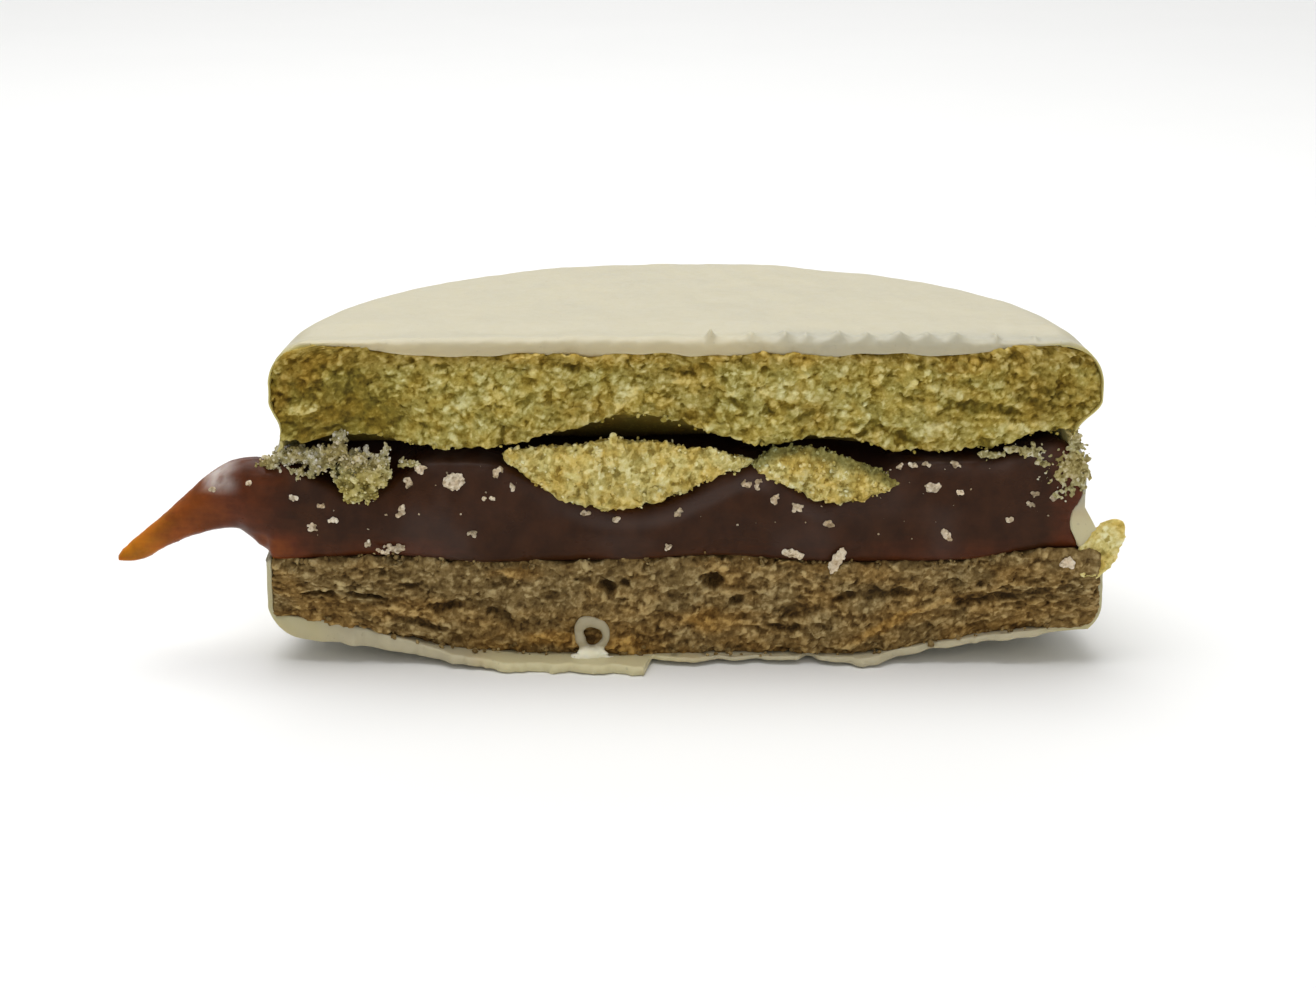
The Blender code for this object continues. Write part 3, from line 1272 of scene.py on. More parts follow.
UPPER_CRUMB = CrumbFinish(
    "green_crumb", deep=(0.105, 0.078, 0.010), dark=(0.235, 0.182, 0.026), body=(0.445, 0.378, 0.105),
    light=(0.76, 0.72, 0.37), toast=(0.80, 0.63, 0.40), patch=(1.02, 0.91, 0.66),
)
LOWER_CRUMB = CrumbFinish(
    "brown_crumb", deep=(0.045, 0.025, 0.007), dark=(0.125, 0.075, 0.022), body=(0.250, 0.168, 0.062),
    light=(0.52, 0.40, 0.19), toast=(1.15, 0.90, 0.50), patch=(0.84, 0.83, 0.80),
)
# Its toast colour also carries the painted shade on the right bit's top.
BROKEN_CRUMB = CrumbFinish(
    "yellow_crumb", deep=(0.16, 0.115, 0.025), dark=(0.38, 0.30, 0.075), body=(0.67, 0.57, 0.205),
    light=(0.90, 0.85, 0.50), toast=(0.44, 0.53, 0.60), patch=(0.98, 0.85, 0.58),
)
GREY_CRUMB = CrumbFinish(
    "grey_crumb", deep=(0.09, 0.07, 0.015), dark=(0.24, 0.20, 0.055), body=(0.47, 0.42, 0.15),
    light=(0.80, 0.76, 0.45), toast=(0.86, 0.86, 1.30), patch=(0.98, 0.90, 0.72),
)
PALE_CRUMB = CrumbFinish(
    "pale_crumb", deep=(0.14, 0.11, 0.07), dark=(0.28, 0.22, 0.14), body=(0.51, 0.425, 0.30),
    light=(0.86, 0.77, 0.61), toast=(0.8, 0.75, 0.55), patch=(0.95, 0.86, 0.76),
)
# Its flap colour is painted light on the drip, lighter than the glaze.
BUBBLE_GLAZE = CoatingFinish(
    "bubble_glaze", grey=(0.32, 0.27, 0.18), edge=(0.41, 0.35, 0.24), flap=(0.93, 0.88, 0.67)
)


def place(mesh: Mesh, marks: Array, finish: Finish, slot: Slot, node: Optional[str] = None) -> Piece:
    """Paints and finishes a mesh and makes it a piece of the cookie, with the mesh's name.

    Args:
        mesh: the mesh, in the solids' frame.
        marks: three numbers from 0 to 1 for each corner, for the material to read.
        finish: what the piece is made of.
        slot: the record's material slot; not used.
        node: the solid that it stands for, if any.

    Returns:
        The new object.
    """
    layer = mesh.color_attributes.new("marks", "FLOAT_COLOR", "POINT")
    full = np.ones((len(marks), 4), np.float32)
    full[:, :3] = np.clip(marks, 0, 1)
    layer.data.foreach_set("color", full.ravel())
    mesh.materials.append(finish.build())
    piece = bpy.data.objects.new(mesh.name, mesh)
    bpy.context.scene.collection.objects.link(piece)
    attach(piece, "root")
    if node:
        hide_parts(node)
    LOG.info("%s: %d faces", piece.name, len(mesh.polygons))
    return piece


# --- the biscuits


@dataclass
class BiscuitLayer:
    """A biscuit layer inside the coating, with a broken, crumbly cut face."""

    name: str
    node: str
    slot: Slot
    finish: CrumbFinish
    low: Surface
    high: Surface
    front: Surface
    relief: CrumbRelief
    seed: int
    across: int = 576
    up: int = 72
    ring_depths: tuple[float, ...] = (0, 0.15, 0.35, 0.65, 1.1, 1.8, 2.8, 4.5, 7, 10, 14, 19, 25, 32.7)
    dense_rings: int = 6
    coarse_step: int = 8
    edge_round: float = 0.5
    top_rise: float = 0.3

    def form(self) -> Form:
        """Makes the layer's shape.

        Returns:
            Its corners and faces, with the crumb's marks.
        """
        coarse = len(self.ring_depths) - self.dense_rings
        stack = RingStack(self.across, self.up, (1,) * self.dense_rings + (self.coarse_step,) * coarse)
        places, faces = stack.build()
        column, row, ring = places.T
        depth = np.array(self.ring_depths)[ring]
        corners = half_disc(
            2 * column / self.across - 1, depth / self.ring_depths[-1], row / self.up,
            self.low, self.high, lambda level: COOKIE.inner_radius(level, depth), self.front,
        )
        x, level = corners[:, 0].copy(), corners[:, 2].copy()
        facing = np.clip(1 - depth / 0.5, 0, 1)
        corners[:, 1] -= facing * self.relief.sample(self.relief.height, x, level)
        corners[:, 1] += facing * self._rounding(column, row)
        noise = Noise(self.seed)
        at_edge = np.clip(1 - np.minimum(row, self.up - row) * self.cell / 0.9, 0, 1) * fall(depth, 0, 2)
        ragged = 0.30 * noise.at(corners + 7, 1.1) + 0.22 * noise.at(corners + 9, 0.45)
        corners[:, 2] += at_edge * np.where(2 * row > self.up, np.minimum(ragged, self.top_rise), ragged)
        for axis in range(3):
            wide = 0.10 * noise.fractal(corners + 40 * axis, 0.9, 2)
            fine = 0.05 * noise.at(corners - 40 * axis, 0.3)
            corners[:, axis] += (wide + fine) * (0.6 if axis == 1 else 1.0)
        # Painted shade: pits darken through the second mark, and the underside is painted dark, with no pale
        # tint and a deep pit mark.
        under = (row == 0) * smooth(depth / 0.5)
        pits = self.relief.sample(self.relief.cavity, x, level) * facing + 0.42 * (1 - facing)
        tint = self.relief.sample(self.relief.tint, x, level) * (1 - under)
        zone = self.relief.sample(self.relief.zone, x, level)
        marks = np.column_stack([tint, pits * (1 - 0.8 * under), zone])
        return facing_out(Form(COOKIE.settle(corners), faces, marks))

    @property
    def cell(self) -> float:
        """The size of the face's grid cells in mm."""
        return 2 * COOKIE.radius / self.across

    def _rounding(self, column: Array, row: Array) -> Array:
        """How far the face falls back at its crumbling edges.

        Args:
            column: the corners' columns in the grid.
            row: their rows.

        Returns:
            The distance for each corner.
        """
        inward = np.minimum.reduce([column, self.across - column, row, self.up - row])
        near = np.clip(1 - inward * self.cell / self.edge_round, 0, 1)
        return self.edge_round * (1 - np.sqrt(1 - 0.96 * near * near))

    def build(self) -> Piece:
        """Makes the layer as a dressed piece."""
        form = self.form()
        return place(to_mesh(self.name, form), form.paint, self.finish, self.slot, self.node)


UPPER_SORTS = (
    GrainSort(per_square=1.2, least=0.5, most=1.1, height=0.32, lift=0.18, stretch=1.3),
    GrainSort(per_square=5.0, least=0.22, most=0.55, height=0.5, lift=0.14, stretch=1.3),
    GrainSort(per_square=15.0, least=0.10, most=0.24, height=0.75, lift=0.08, stretch=1.3),
)
# Each row is x, z, half_x, half_z, rise, tilt, pale and gold; what a row leaves off is 0. A hole's pale below
# 0 is painted shade in it.
UPPER_FEATURES = each(
    Feature,
    (21.6, 20.9, 1.5, 0.55, -0.45, -10, -0.4), (24.6, 20.7, 1.7, 0.45, -0.4, -6, -0.35),
    (20.9, 22.7, 0.9, 0.5, -0.25, 0, -0.3), (25.0, 25.0, 1.0, 0.4, -0.2, 0, -0.25),
    (27.4, 22.4, 0.8, 0.5, -0.35, 0, -0.3), (25.6, 23.4, 2.6, 1.2, 0, 0, -0.1, 0.35),
    (20.6, 23.9, 2.2, 0.4, 0, 0, -0.15, 0.6), (18.8, 19.2, 2.6, 0.8, 0.1, 0, 0.25),
    (25.3, 19.2, 2.2, 0.6, 0.12, 0, 0.28), (-29.0, 21.0, 1.2, 0.85, 0.45, 0, 0.6),
    (-30.9, 21.3, 0.8, 2.4, 0, 0, 0, 0.7), (-29.6, 23.4, 2.0, 1.1, 0, 0, 0, 0.6),
    (-23.8, 20.0, 2.4, 0.9, -0.25, 8, -0.35), (-26.2, 19.0, 1.3, 0.4, -0.3, 0, -0.3),
    (-27.0, 21.4, 6.0, 4.5, 0, 0, -0.5), (-24.4, 20.4, 3.6, 1.6, 0, 0, -0.25),
    (-29.6, 20.4, 2.4, 3.0, 0, 0, 0, 0.2), (-29.3, 18.9, 1.8, 0.7, 0, 0, -0.2),
    (-20.6, 22.0, 1.6, 0.8, 0, 0, -0.14), (28.4, 21.6, 2.8, 2.4, 0, 0, -0.28, 0.3),
    (-19.6, 19.2, 1.3, 0.4, -0.2, -10, -0.2), (-16.8, 20.8, 1.0, 0.8, 0.2, 0, 0.3),
    (-14.2, 21.9, 1.6, 1.0, 0, 0, 0.2), (-8.4, 24.1, 1.3, 0.4, -0.25, 0, -0.2, 0.4),
    (-4.7, 21.6, 0.8, 1.0, 0.2, 0, 0.35), (0.4, 23.6, 2.2, 0.5, -0.15, 4, -0.25, 0.3),
    (3.2, 21.2, 1.1, 0.4, -0.25, -10, -0.25), (7.8, 22.2, 2.6, 1.1, 0.12, 0, 0.3),
    (12.0, 20.6, 2.0, 0.9, 0, 0, 0.15), (17.0, 18.2, 1.4, 0.35, -0.25, -12, -0.2),
)
LOWER_SORTS = (
    GrainSort(per_square=1.3, least=0.4, most=0.9, height=0.34, lift=0.16, stretch=1.45),
    GrainSort(per_square=5.5, least=0.20, most=0.45, height=0.5, lift=0.15, stretch=1.4),
    GrainSort(per_square=15.0, least=0.10, most=0.22, height=0.75, lift=0.08, stretch=1.4),
)
# A hole's pale below 0 is painted shade in it.
LOWER_FEATURES = each(
    Feature,
    (-6.1, 6.3, 0.95, 0.7, -1.1, -20, -0.35), (-4.6, 6.7, 0.6, 0.35, -0.6, 0, -0.2),
    (2.1, 6.6, 1.1, 0.65, -1.1, -8, -0.3), (4.1, 5.2, 0.7, 0.4, -0.7, 30, -0.2),
    (15.0, 6.0, 2.0, 0.75, -0.5, -8, -0.5), (12.6, 5.6, 1.0, 0.35, -0.7, 10, -0.2),
    (22.6, 4.7, 1.7, 0.8, -0.5, -4, -0.5), (25.2, 5.0, 1.5, 0.7, -0.4, 14, -0.5),
    (27.5, 5.3, 1.3, 0.55, -0.35, -6, -0.45), (29.6, 5.6, 1.1, 0.4, -0.3, 12, -0.3),
    (9.0, 4.4, 1.6, 0.9, -0.5, 20, -0.3), (8.0, 3.0, 1.6, 0.5, -0.45, 0, -0.25),
    (-14.4, 3.6, 2.2, 0.8, -0.5, -10, -0.3), (-18.9, 4.3, 1.4, 0.35, -0.7, 0, -0.2),
    (-24.6, 5.0, 1.7, 0.35, -0.6, -6, -0.2), (-21.4, 6.4, 1.2, 0.3, -0.5, 8, -0.15),
    (-28.4, 4.9, 1.4, 0.3, -0.55, -8, -0.2), (-20.0, 2.6, 2.0, 0.3, -0.5, -8, -0.2),
    (-13.4, 7.3, 2.4, 0.6, 0, 0, 0.1, 0.7), (-10.8, 2.0, 1.8, 0.7, 0.15, 0, 0.15, 0.9),
    (-4.9, 1.4, 1.3, 0.8, 0.25, 0, 0.3, 1.0), (-3.6, 4.6, 1.8, 0.9, 0.2, 20, 0.3),
    (2.6, 3.4, 2.8, 1.1, 0.1, 0, 0.12, 0.75), (6.6, 5.9, 1.9, 0.25, 0.25, 0, 0.25),
    (15.6, 3.0, 2.8, 0.5, 0.15, 24, 0.05, 0.9), (19.4, 4.3, 2.4, 0.35, 0.2, 16, 0.3, 0.3),
    (19.8, 7.4, 2.2, 0.9, 0, 0, 0.22), (-26.6, 6.2, 1.6, 0.5, 0.15, -24, 0.3),
    (-22.6, 3.8, 1.4, 0.4, 0.15, 0, 0.22), (-7.3, 2.4, 0.8, 0.9, -0.55, 0, -0.05),
    (-25.5, 5.5, 6.0, 4.0, 0, 0, -0.1),
)


def upper_zone(x: Array, z: Array) -> Array:
    """Where the upper biscuit is browner: just under the glaze and in patches."""
    patches = smooth(0.35 + 0.9 * Noise(90).fractal(on_face(x, z), 3.4, 3)).reshape(x.shape)
    return np.maximum(0.8 * rise(z, 23.4, 1.4), 0.45 * patches)


def lower_zone(x: Array, z: Array) -> Array:
    """Where the lower biscuit is golden: in patches, most of all low down."""
    patches = smooth(0.4 + 1.1 * Noise(91).fractal(on_face(x, 2 * z), 3.6, 3)).reshape(x.shape)
    return np.clip(0.55 * patches + 0.25 * smooth((3.0 - z) / 2.0), 0, 1)


def upper_biscuit() -> BiscuitLayer:
    """Sizes the upper biscuit: granular, green-yellow, arched over the broken bits.

    Returns:
        The layer, not built yet.
    """
    return BiscuitLayer(
        name="upper_biscuit_crumb", node="biscuit_top", slot=Slot.UPPER, finish=UPPER_CRUMB,
        low=COOKIE.upper_underside,
        high=lambda x, y: COOKIE.height - COOKIE.top_coat(x, y) + COOKIE.embed,
        front=lambda x, level: 0.3 * wave(x, 17, 2.1) + 0.1,
        relief=CrumbRelief(
            low=15.5, high=26.2, sorts=UPPER_SORTS, features=UPPER_FEATURES, zone_at=upper_zone,
            hollow_size=(1.5, 1.0), hollow_depth=0.22, rough=0.05, seed=11,
        ),
        seed=21,
        top_rise=0.0,
    )


def lower_front(x: Array, level: Array) -> Array:
    """How far behind the cut the lower biscuit's face lies, before its crumbs."""
    return 0.35 * wave(x, 19, 0.8) - 0.3 * level / COOKIE.base_top + 0.1


def lower_biscuit() -> BiscuitLayer:
    """Sizes the lower biscuit: brown, with long flat holes.

    Returns:
        The layer, not built yet.
    """
    return BiscuitLayer(
        name="lower_biscuit_crumb", node="biscuit_base", slot=Slot.LOWER, finish=LOWER_CRUMB,
        low=lambda x, y: 0.62 + 0.35 * smooth(y / 3) + COOKIE.floor_rise(x, y),
        high=COOKIE.base_upper_side,
        front=lower_front,
        relief=CrumbRelief(
            low=0.0, high=10.5, sorts=LOWER_SORTS, features=LOWER_FEATURES, zone_at=lower_zone,
            hollow_size=(2.1, 0.95), hollow_depth=0.34, rough=0.06, seed=12,
        ),
        seed=22,
    )


# --- the caramel


Stations = tuple[tuple[float, float, float, float], ...]


@dataclass
class Caramel:
    """The caramel layer with the tail that hangs from its left end.

    The tail, and the web and foot that join it to the layer, are bars through stations: the
    x, y and z of the bar's middle and its thickness, in mm.
    """

    tail: Stations = (
        (-29.0, 1.9, 12.7, 6.7), (-32.0, 1.7, 12.8, 6.7), (-34.3, 1.6, 13.35, 5.9), (-36.4, 1.5, 12.7, 4.5),
        (-38.7, 1.2, 11.55, 3.1), (-41.0, 1.0, 10.15, 2.25), (-43.0, 0.9, 8.75, 1.9),
        (-44.2, 0.8, 7.8, 1.5),
    )
    web: Stations = (
        (-28.6, 1.6, 10.2, 3.4), (-31.2, 1.5, 10.2, 3.0), (-32.2, 1.6, 10.9, 3.2), (-33.2, 1.7, 12.4, 3.0),
    )
    foot: Stations = (
        (-28.6, 1.3, 9.9, 2.0), (-30.6, 1.1, 9.8, 2.2), (-32.4, 1.1, 10.2, 2.4), (-33.3, 1.3, 11.6, 2.4),
    )
    flatness: float = 0.78
    tip_level: float = 8.2
    gap: float = 0.1
    lowered: float = 0.25
    swell: float = 0.8
    across: int = 176
    up: int = 28
    voxel: float = 0.295
    ring_depths: tuple[float, ...] = (
        0, 0.25, 0.5, 0.8, 1.2, 1.7, 2.3, 3, 4, 5.5, 7.5, 10, 13, 16, 19, 22, 25, 28, 32.7
    )

    def bottom(self, x: Array, y: Array) -> Array:
        """The caramel's underside; it sags onto the crumb near the cut."""
        return COOKIE.base_upper_side(x, y) + self.gap - 0.25 * fall(y, 0, 2)

    def top(self, x: Array, y: Array) -> Array:
        """The caramel's top, a little lower near the cut and less hollow under the middle bit."""
        lowered = self.lowered - 0.5 * bump(x, -4.5, 8.0) + 0.3 * bump(x, -17.5, 6.0)
        return COOKIE.caramel_top(x, y) - fall(y, 0, 3) * lowered

    def front(self, x: Array, level: Array) -> Array:
        """How far behind the cut the caramel's bulging face lies.

        Args:
            x: places along the cut.
            level: their levels.

        Returns:
            The distance at each place.
        """
        low = COOKIE.base_upper_side(x, x) + self.gap
        share = (level - low) / (self.top(x, np.zeros_like(x)) - low)
        return 0.2 * wave(x, 13, 0) - self.swell * bump(share, 0.42, 0.75) + 0.1

    def front_at(self, x: float, level: float) -> float:
        """The same distance at a single place."""
        return float(self.front(np.array([x]), np.array([level]))[0])

    def body(self) -> Form:
        """Makes the layer without its tail.

        Returns:
            Its closed shape.
        """
        depths = np.array(self.ring_depths)
        stack = RingStack(self.across, self.up, (1,) * len(depths))
        places, faces = stack.build()
        column, row, ring = places.T
        depth = depths[ring]
        near = np.clip(1 - np.minimum(row, self.up - row) / self.up / 0.08, 0, 1)
        fall_back = 0.5 * (1 - np.sqrt(1 - 0.96 * near ** 2)) * fall(depth, 0, 1)
        side = 2 * column / self.across - 1
        corners = half_disc(
            side, depth / depths[-1], row / self.up, self.bottom, self.top,
            lambda level: COOKIE.inner_radius(level, depth) - COOKIE.web(side, level, depth),
            lambda x, level: self.front(x, level) + fall_back,
        )
        return facing_out(Form(COOKIE.settle(corners), faces))

    def tube(self, stations: Stations, steps: int = 9, around: int = 28) -> Form:
        """Makes a round bar, flattened along y.

        Args:
            stations: the places that it goes through.
            steps: the number of rings from one station to the next.
            around: the number of corners in a ring.

        Returns:
            The closed bar.
        """
        knots = np.array(stations) / (1, 1, 1, 2)
        ends = np.vstack([2 * knots[0] - knots[1], knots, 2 * knots[-1] - knots[-2]])
        line = []
        for a, b, c, d in zip(ends, ends[1:], ends[2:], ends[3:]):
            for t in np.arange(steps) / steps:
                line.append(
                    0.5 * (2 * b + (c - a) * t + (2 * a - 5 * b + 4 * c - d) * t ** 2
                           + (3 * b - a - 3 * c + d) * t ** 3)
                )
        line.append(knots[-1])
        path = np.array(line)
        way = np.gradient(path[:, :3], axis=0)
        way /= np.linalg.norm(way, axis=1)[:, None]
        side = np.array([0.0, 1.0, 0.0])
        above = np.cross(way, side)
        above /= np.linalg.norm(above, axis=1)[:, None]
        corners = []
        for centre, up_way in zip(path, above):
            for step in range(around):
                angle = 2 * math.pi * step / around
                out = up_way * math.cos(angle) + side * math.sin(angle) * self.flatness
                corners.append(centre[:3] + centre[3] * out)
        faces = hoops(len(path), around, closed=False)
        faces.append(list(range(around))[::-1])
        faces.append([(len(path) - 1) * around + step for step in range(around)])
        return facing_out(Form(np.array(corners), faces))

    def form(self) -> Form:
        """Makes the whole caramel.

        Returns:
            One smooth skin, with its marks.
        """
        tail = self.tube(self.tail)
        tail.corners[:, 2] = np.where(
            tail.corners[:, 0] < -41.2, np.maximum(tail.corners[:, 2], self.tip_level), tail.corners[:, 2]
        )
        whole = self.body().joined(tail).joined(self.tube(self.web)).joined(self.tube(self.foot))
        skin = eased(melted(whole, self.voxel), 5)
        x, y, z = skin.corners.T
        noise = Noise(31)
        lumps = 0.10 * noise.fractal(skin.corners / np.array([1.6, 1, 1]), 2.6, 3)
        drag = 0.035 * noise.fractal(skin.corners / np.array([5.0, 1, 1]), 0.7, 3)
        near_cut = fall(y, 0, 2.5)
        skin.corners[:, 1] -= (lumps + drag) * near_cut
        on_tail = smooth((-31.5 - x) / 3)
        skin.corners[:, 2] += on_tail * 0.16 * noise.fractal(skin.corners + 9, 1.8, 2)
        reach = np.clip((-x - 28.5) / 15.5, 0, 1)
        thin = (0.10 + 0.9 * reach ** 1.35) * rise(-x, 28.5, 3.5)
        thin = np.maximum(thin, 0.5 * rise(-x, 27.0, 4.5) * fall(z, 9.8, 2.4))
        thin = np.maximum(thin, (0.34 + 0.12 * (z < 10.5)) * rise(x, 27.0, 4))
        warm = 0.09 + 0.15 * rise(np.abs(x), 12, 10)
        low_edge = warm * fall(z, 8.8, 2.6) * smooth(0.5 + noise.fractal(skin.corners, 7, 2))
        thin = np.maximum(thin, low_edge)
        # Painted sheen in the second mark: a greyish band along the top, broad patches and arcs just under
        # the hollows, none on the tail.
        painted_sheen = rise(z, 15.0, 1.6) * smooth(0.45 + 0.9 * noise.fractal(skin.corners + 5, 1.4, 3))
        # Painted highlight in the third mark: a pale patch on the tail's top, broken up by noise.
        highlight_breakup = smooth(0.6 + 0.8 * noise.fractal(skin.corners, 0.9, 3))
        painted_highlight = bump(x, -36.4, 2.4) * rise(z, 13.6, 1.2) * highlight_breakup
        sheen = 0.6 * smooth(0.3 + 1.2 * noise.fractal(skin.corners + 15, 5.0, 3)) * fall(np.abs(x), 20, 7)
        broken = smooth(0.6 + noise.fractal(skin.corners + 25, 2.5, 2))
        arc = bump(self.top(x, y) - z, 1.3, 1.0) * broken * bump(x, 1, 18)
        painted_sheen = np.maximum(np.maximum(painted_sheen, sheen), 1.4 * arc) * (1 - on_tail)
        skin.paint = np.column_stack([thin, painted_sheen, painted_highlight])
        return skin

    def build(self) -> Piece:
        """Makes the caramel as a dressed piece."""
        form = self.form()
        return place(to_mesh("caramel_layer", form), form.paint, CaramelFinish(), Slot.CARAMEL, "filling")


CARAMEL = Caramel()


# --- the coating


@dataclass
class Coating:
    """The white shell, open at the cut, with a rounded lip above and a ragged flap below.

    Each tooth of the lip is its place along the cut, its height and its half width.
    """

    bottom_coat: float = 0.75
    lip_share: float = 0.62
    flap_start: float = -24.0
    flap_end: float = -3.3
    flap_step: float = 0.7
    flap_reach: float = 3.0
    notch_depth: float = 7.0
    notch_level: float = 12.8
    notch_half_height: float = 4.3
    across: int = 384
    up: int = 152
    dense_step: int = 1
    plain_step: int = 2
    hidden_step: int = 8
    teeth: tuple[Trio, ...] = (
        (1.9, 0.75, 0.6), (5.0, 0.4, 1.0), (7.6, 0.45, 1.0), (9.2, 0.3, 0.8), (11.7, 0.5, 1.2),
        (13.8, 0.45, 1.0), (16.3, 0.5, 1.1), (18.4, 0.45, 1.0), (20.6, 0.5, 1.1), (23.7, 0.45, 0.7),
        (26.7, 0.3, 0.5),
    )

    def levels(self) -> Array:
        """Spaces the grid's rows evenly along the side's profile.

        Returns:
            The rows' levels.
        """
        arc = np.linspace(0, np.pi / 2, 40)
        low = COOKIE.low_round * (1 - np.cos(arc))
        high = COOKIE.height - COOKIE.high_round * (1 - np.sin(arc))
        middle = np.linspace(COOKIE.low_round, COOKIE.height - COOKIE.high_round, 200)[1:-1]
        level = np.concatenate([low, middle, high])
        radius = COOKIE.side_radius(level)
        along = np.concatenate([[0], np.cumsum(np.hypot(np.diff(level), np.diff(radius)))])
        return np.interp(np.linspace(0, along[-1], self.up + 1), along, level)

    def edge_front(self, x: Array, level: Array) -> Array:
        """How far behind the cut the coating's edge lies: the notch, less the flap.

        Args:
            x: places along the cut.
            level: their levels.

        Returns:
            The distance at each place.
        """
        ramp = np.where(x < self.flap_end, smooth((x - self.flap_start) / (-9.0 - self.flap_start)), 0.0)
        step = np.clip(1 - (x - self.flap_end) / self.flap_step, 0, 1)
        ramp = np.maximum(ramp, step * (x >= self.flap_end))
        ragged = Noise(41).fractal(on_face(x, level * 0.3), 1.3, 3)
        torn = 1.2 * bump(x, 13.8, 3.2) - 1.2 * bump(x, 9.7, 0.9) + 0.35 * rise(x, -24, 8)
        reach = 0.25 + (self.flap_reach - 0.3) * ramp + torn * (x > self.flap_end) + 0.65 * ragged
        flap = reach * fall(level, 0.4, 2.1) * fall(np.abs(x), 26, 5)
        off_middle = np.abs(level - self.notch_level) / self.notch_half_height
        notch = self.notch_depth * np.clip(1 - off_middle ** 2.4, 0, 1) ** 0.7
        notch = notch * smooth(-4 * x / COOKIE.radius - 2)
        nibbled = 0.12 * Noise(42).fractal(on_face(x, level), 0.9, 3)
        return notch - flap + nibbled - 0.05

    def curl(self, x: Array, y: Array) -> Array:
        """How far the underside lifts off the table at the cut, right of the flap."""
        lift = 0.4 * rise(x, self.flap_end, 0.8) + 0.3 * rise(x, 16, 4) - 0.25 * bump(x, 13.8, 3.2)
        return lift * fall(y, 0, 4)

    def rings(self) -> tuple[Array, Array, Array, tuple[int, ...]]:
        """The rings from the back, over the cut edge and back inside.

        Returns:
            For each ring its place from the cut to the back (0 to 1), its share of the
            way through the coating, its setback at the cut, and its grid step.
        """
        radius = COOKIE.radius
        plain = np.linspace(1, 3.4 / radius, 50)
        dense = np.linspace(3.2, 1.1, 13) / radius
        turns = np.linspace(0, np.pi / 2, 8)
        flats = np.linspace(self.lip_share, 1, 4)[1:]
        within = np.array([0.3, 0.7, 1.1, 1.6, 2.2, 3.0]) / radius
        hidden = np.array([0.16, 0.28, 0.42, 0.58, 0.74, 0.88, 1.0])
        back = np.concatenate([plain, dense, 0 * turns, 0 * flats, within, hidden])
        lip = self.lip_share * (1 - np.cos(turns))
        share = np.concatenate([0 * plain, 0 * dense, lip, flats, 0 * within + 1, 0 * hidden + 1])
        setback = np.concatenate([0 * plain, 0 * dense, 1 - np.sin(turns), 0 * flats, 0 * within, 0 * hidden])
        steps = (self.plain_step,) * len(plain) + (self.dense_step,) * (len(back) - len(plain) - len(hidden))
        return back, share, setback, steps + (self.hidden_step,) * len(hidden)

    def form(self) -> tuple[Form, Array]:
        """Makes the shell's shape.

        Returns:
            Its corners and faces with their marks, and 1 outside to -1 inside for each corner.
        """
        back, share, setback, steps = self.rings()
        places, faces = RingStack(self.across, self.up, steps).build()
        column, row, ring = places.T
        levels = self.levels()
        through = share[ring]
        depth = back[ring] * COOKIE.radius
        at_side = smooth((row / self.up) / 0.02) * smooth((1 - row / self.up) / 0.02)
        at_bottom = fall(levels[row], 0.5, 2)
        side = 2 * column / self.across - 1
        narrow = np.sqrt(1 - side ** 2 / 2)
        lip_depth = (0.9 - 0.65 * np.maximum(at_side, at_bottom)) * setback[ring] * narrow
        corners = half_disc(
            side, back[ring], levels[row] / COOKIE.height,
            lambda x, y: through * (self.bottom_coat + COOKIE.floor_rise(x, y))
            + (1 - through) * self.curl(x, y),
            lambda x, y: COOKIE.height - through * COOKIE.top_coat(x, y),
            lambda level: COOKIE.side_radius(level, through * COOKIE.side_coat(level, depth))
            - through * COOKIE.web(side, level, depth),
            lambda x, level: self.edge_front(x, level) + lip_depth,
        )
        outer = 1 - through
        x, y, z = corners.T
        on_top = rise(z, 24.5, 1.2)
        near_lip = outer * on_top
        corners[:, 2] -= near_lip * 0.3 * bump(y, 3.0, 2.6) * (0.6 + 0.4 * wave(x, 14, 1.0))
        corners[:, 2] += near_lip * self._teeth(x) * np.where(y < 0.7, bump(y, 0.7, 0.8), bump(y, 0.7, 2.4))
        corners[:, 2] += near_lip * 0.10 * Noise(43).fractal(corners * np.array([1, 0.5, 0.3]), 2.2, 2)
        form = Form(COOKIE.settle(corners), faces, self._marks(corners, outer))
        return facing_out(form), 1 - 2 * through

    def _teeth(self, x: Array) -> Array:
        """The little peaks that the knife pulled up along the lip.

        Args:
            x: places along the cut.

        Returns:
            How far they stand up at each place.
        """
        peaks = np.zeros_like(x)
        for place_at, tall, half_width in self.teeth:
            peaks = np.maximum(peaks, tall * np.clip(1 - np.abs(x - place_at) / half_width, 0, 1) ** 1.7)
        return peaks

    def _marks(self, corners: Array, outer: Array) -> Array:
        """Marks what the material shows.

        Args:
            corners: the corners, before they settle.
            outer: 1 outside to 0 inside, for each.

        Returns:
            Stain, greyness with the painted shade on the lip's right half, and cut edge with the painted
            light on the flap, for each corner.
        """
        x, y, z = corners.T
        cloud = Noise(44).fractal(corners, 3.0, 3)
        from_cut = np.maximum(y, 0)
        end = rise(np.abs(x), 26.5, 3)
        over_crumb = rise(z, 17.8, 1.0) * fall(z, 25.2, 1.2) + 0.45 * fall(z, 7.5, 1.5)
        stain = end * fall(from_cut, 0.3, 3) * over_crumb
        stain = np.clip(stain * (0.9 + 0.5 * cloud), 0, 0.9)
        stain = np.maximum(stain, (outer < 0.4) * end * rise(z, 14.5, 1.5))
        waist = np.maximum(bump(z, 14.2, 6.5), 0.5 * fall(z, 22.0, 2.5)) * (0.75 + 0.4 * cloud)
        lip = fall(from_cut, 0, 1.0) * rise(z, 23.8, 0.8)
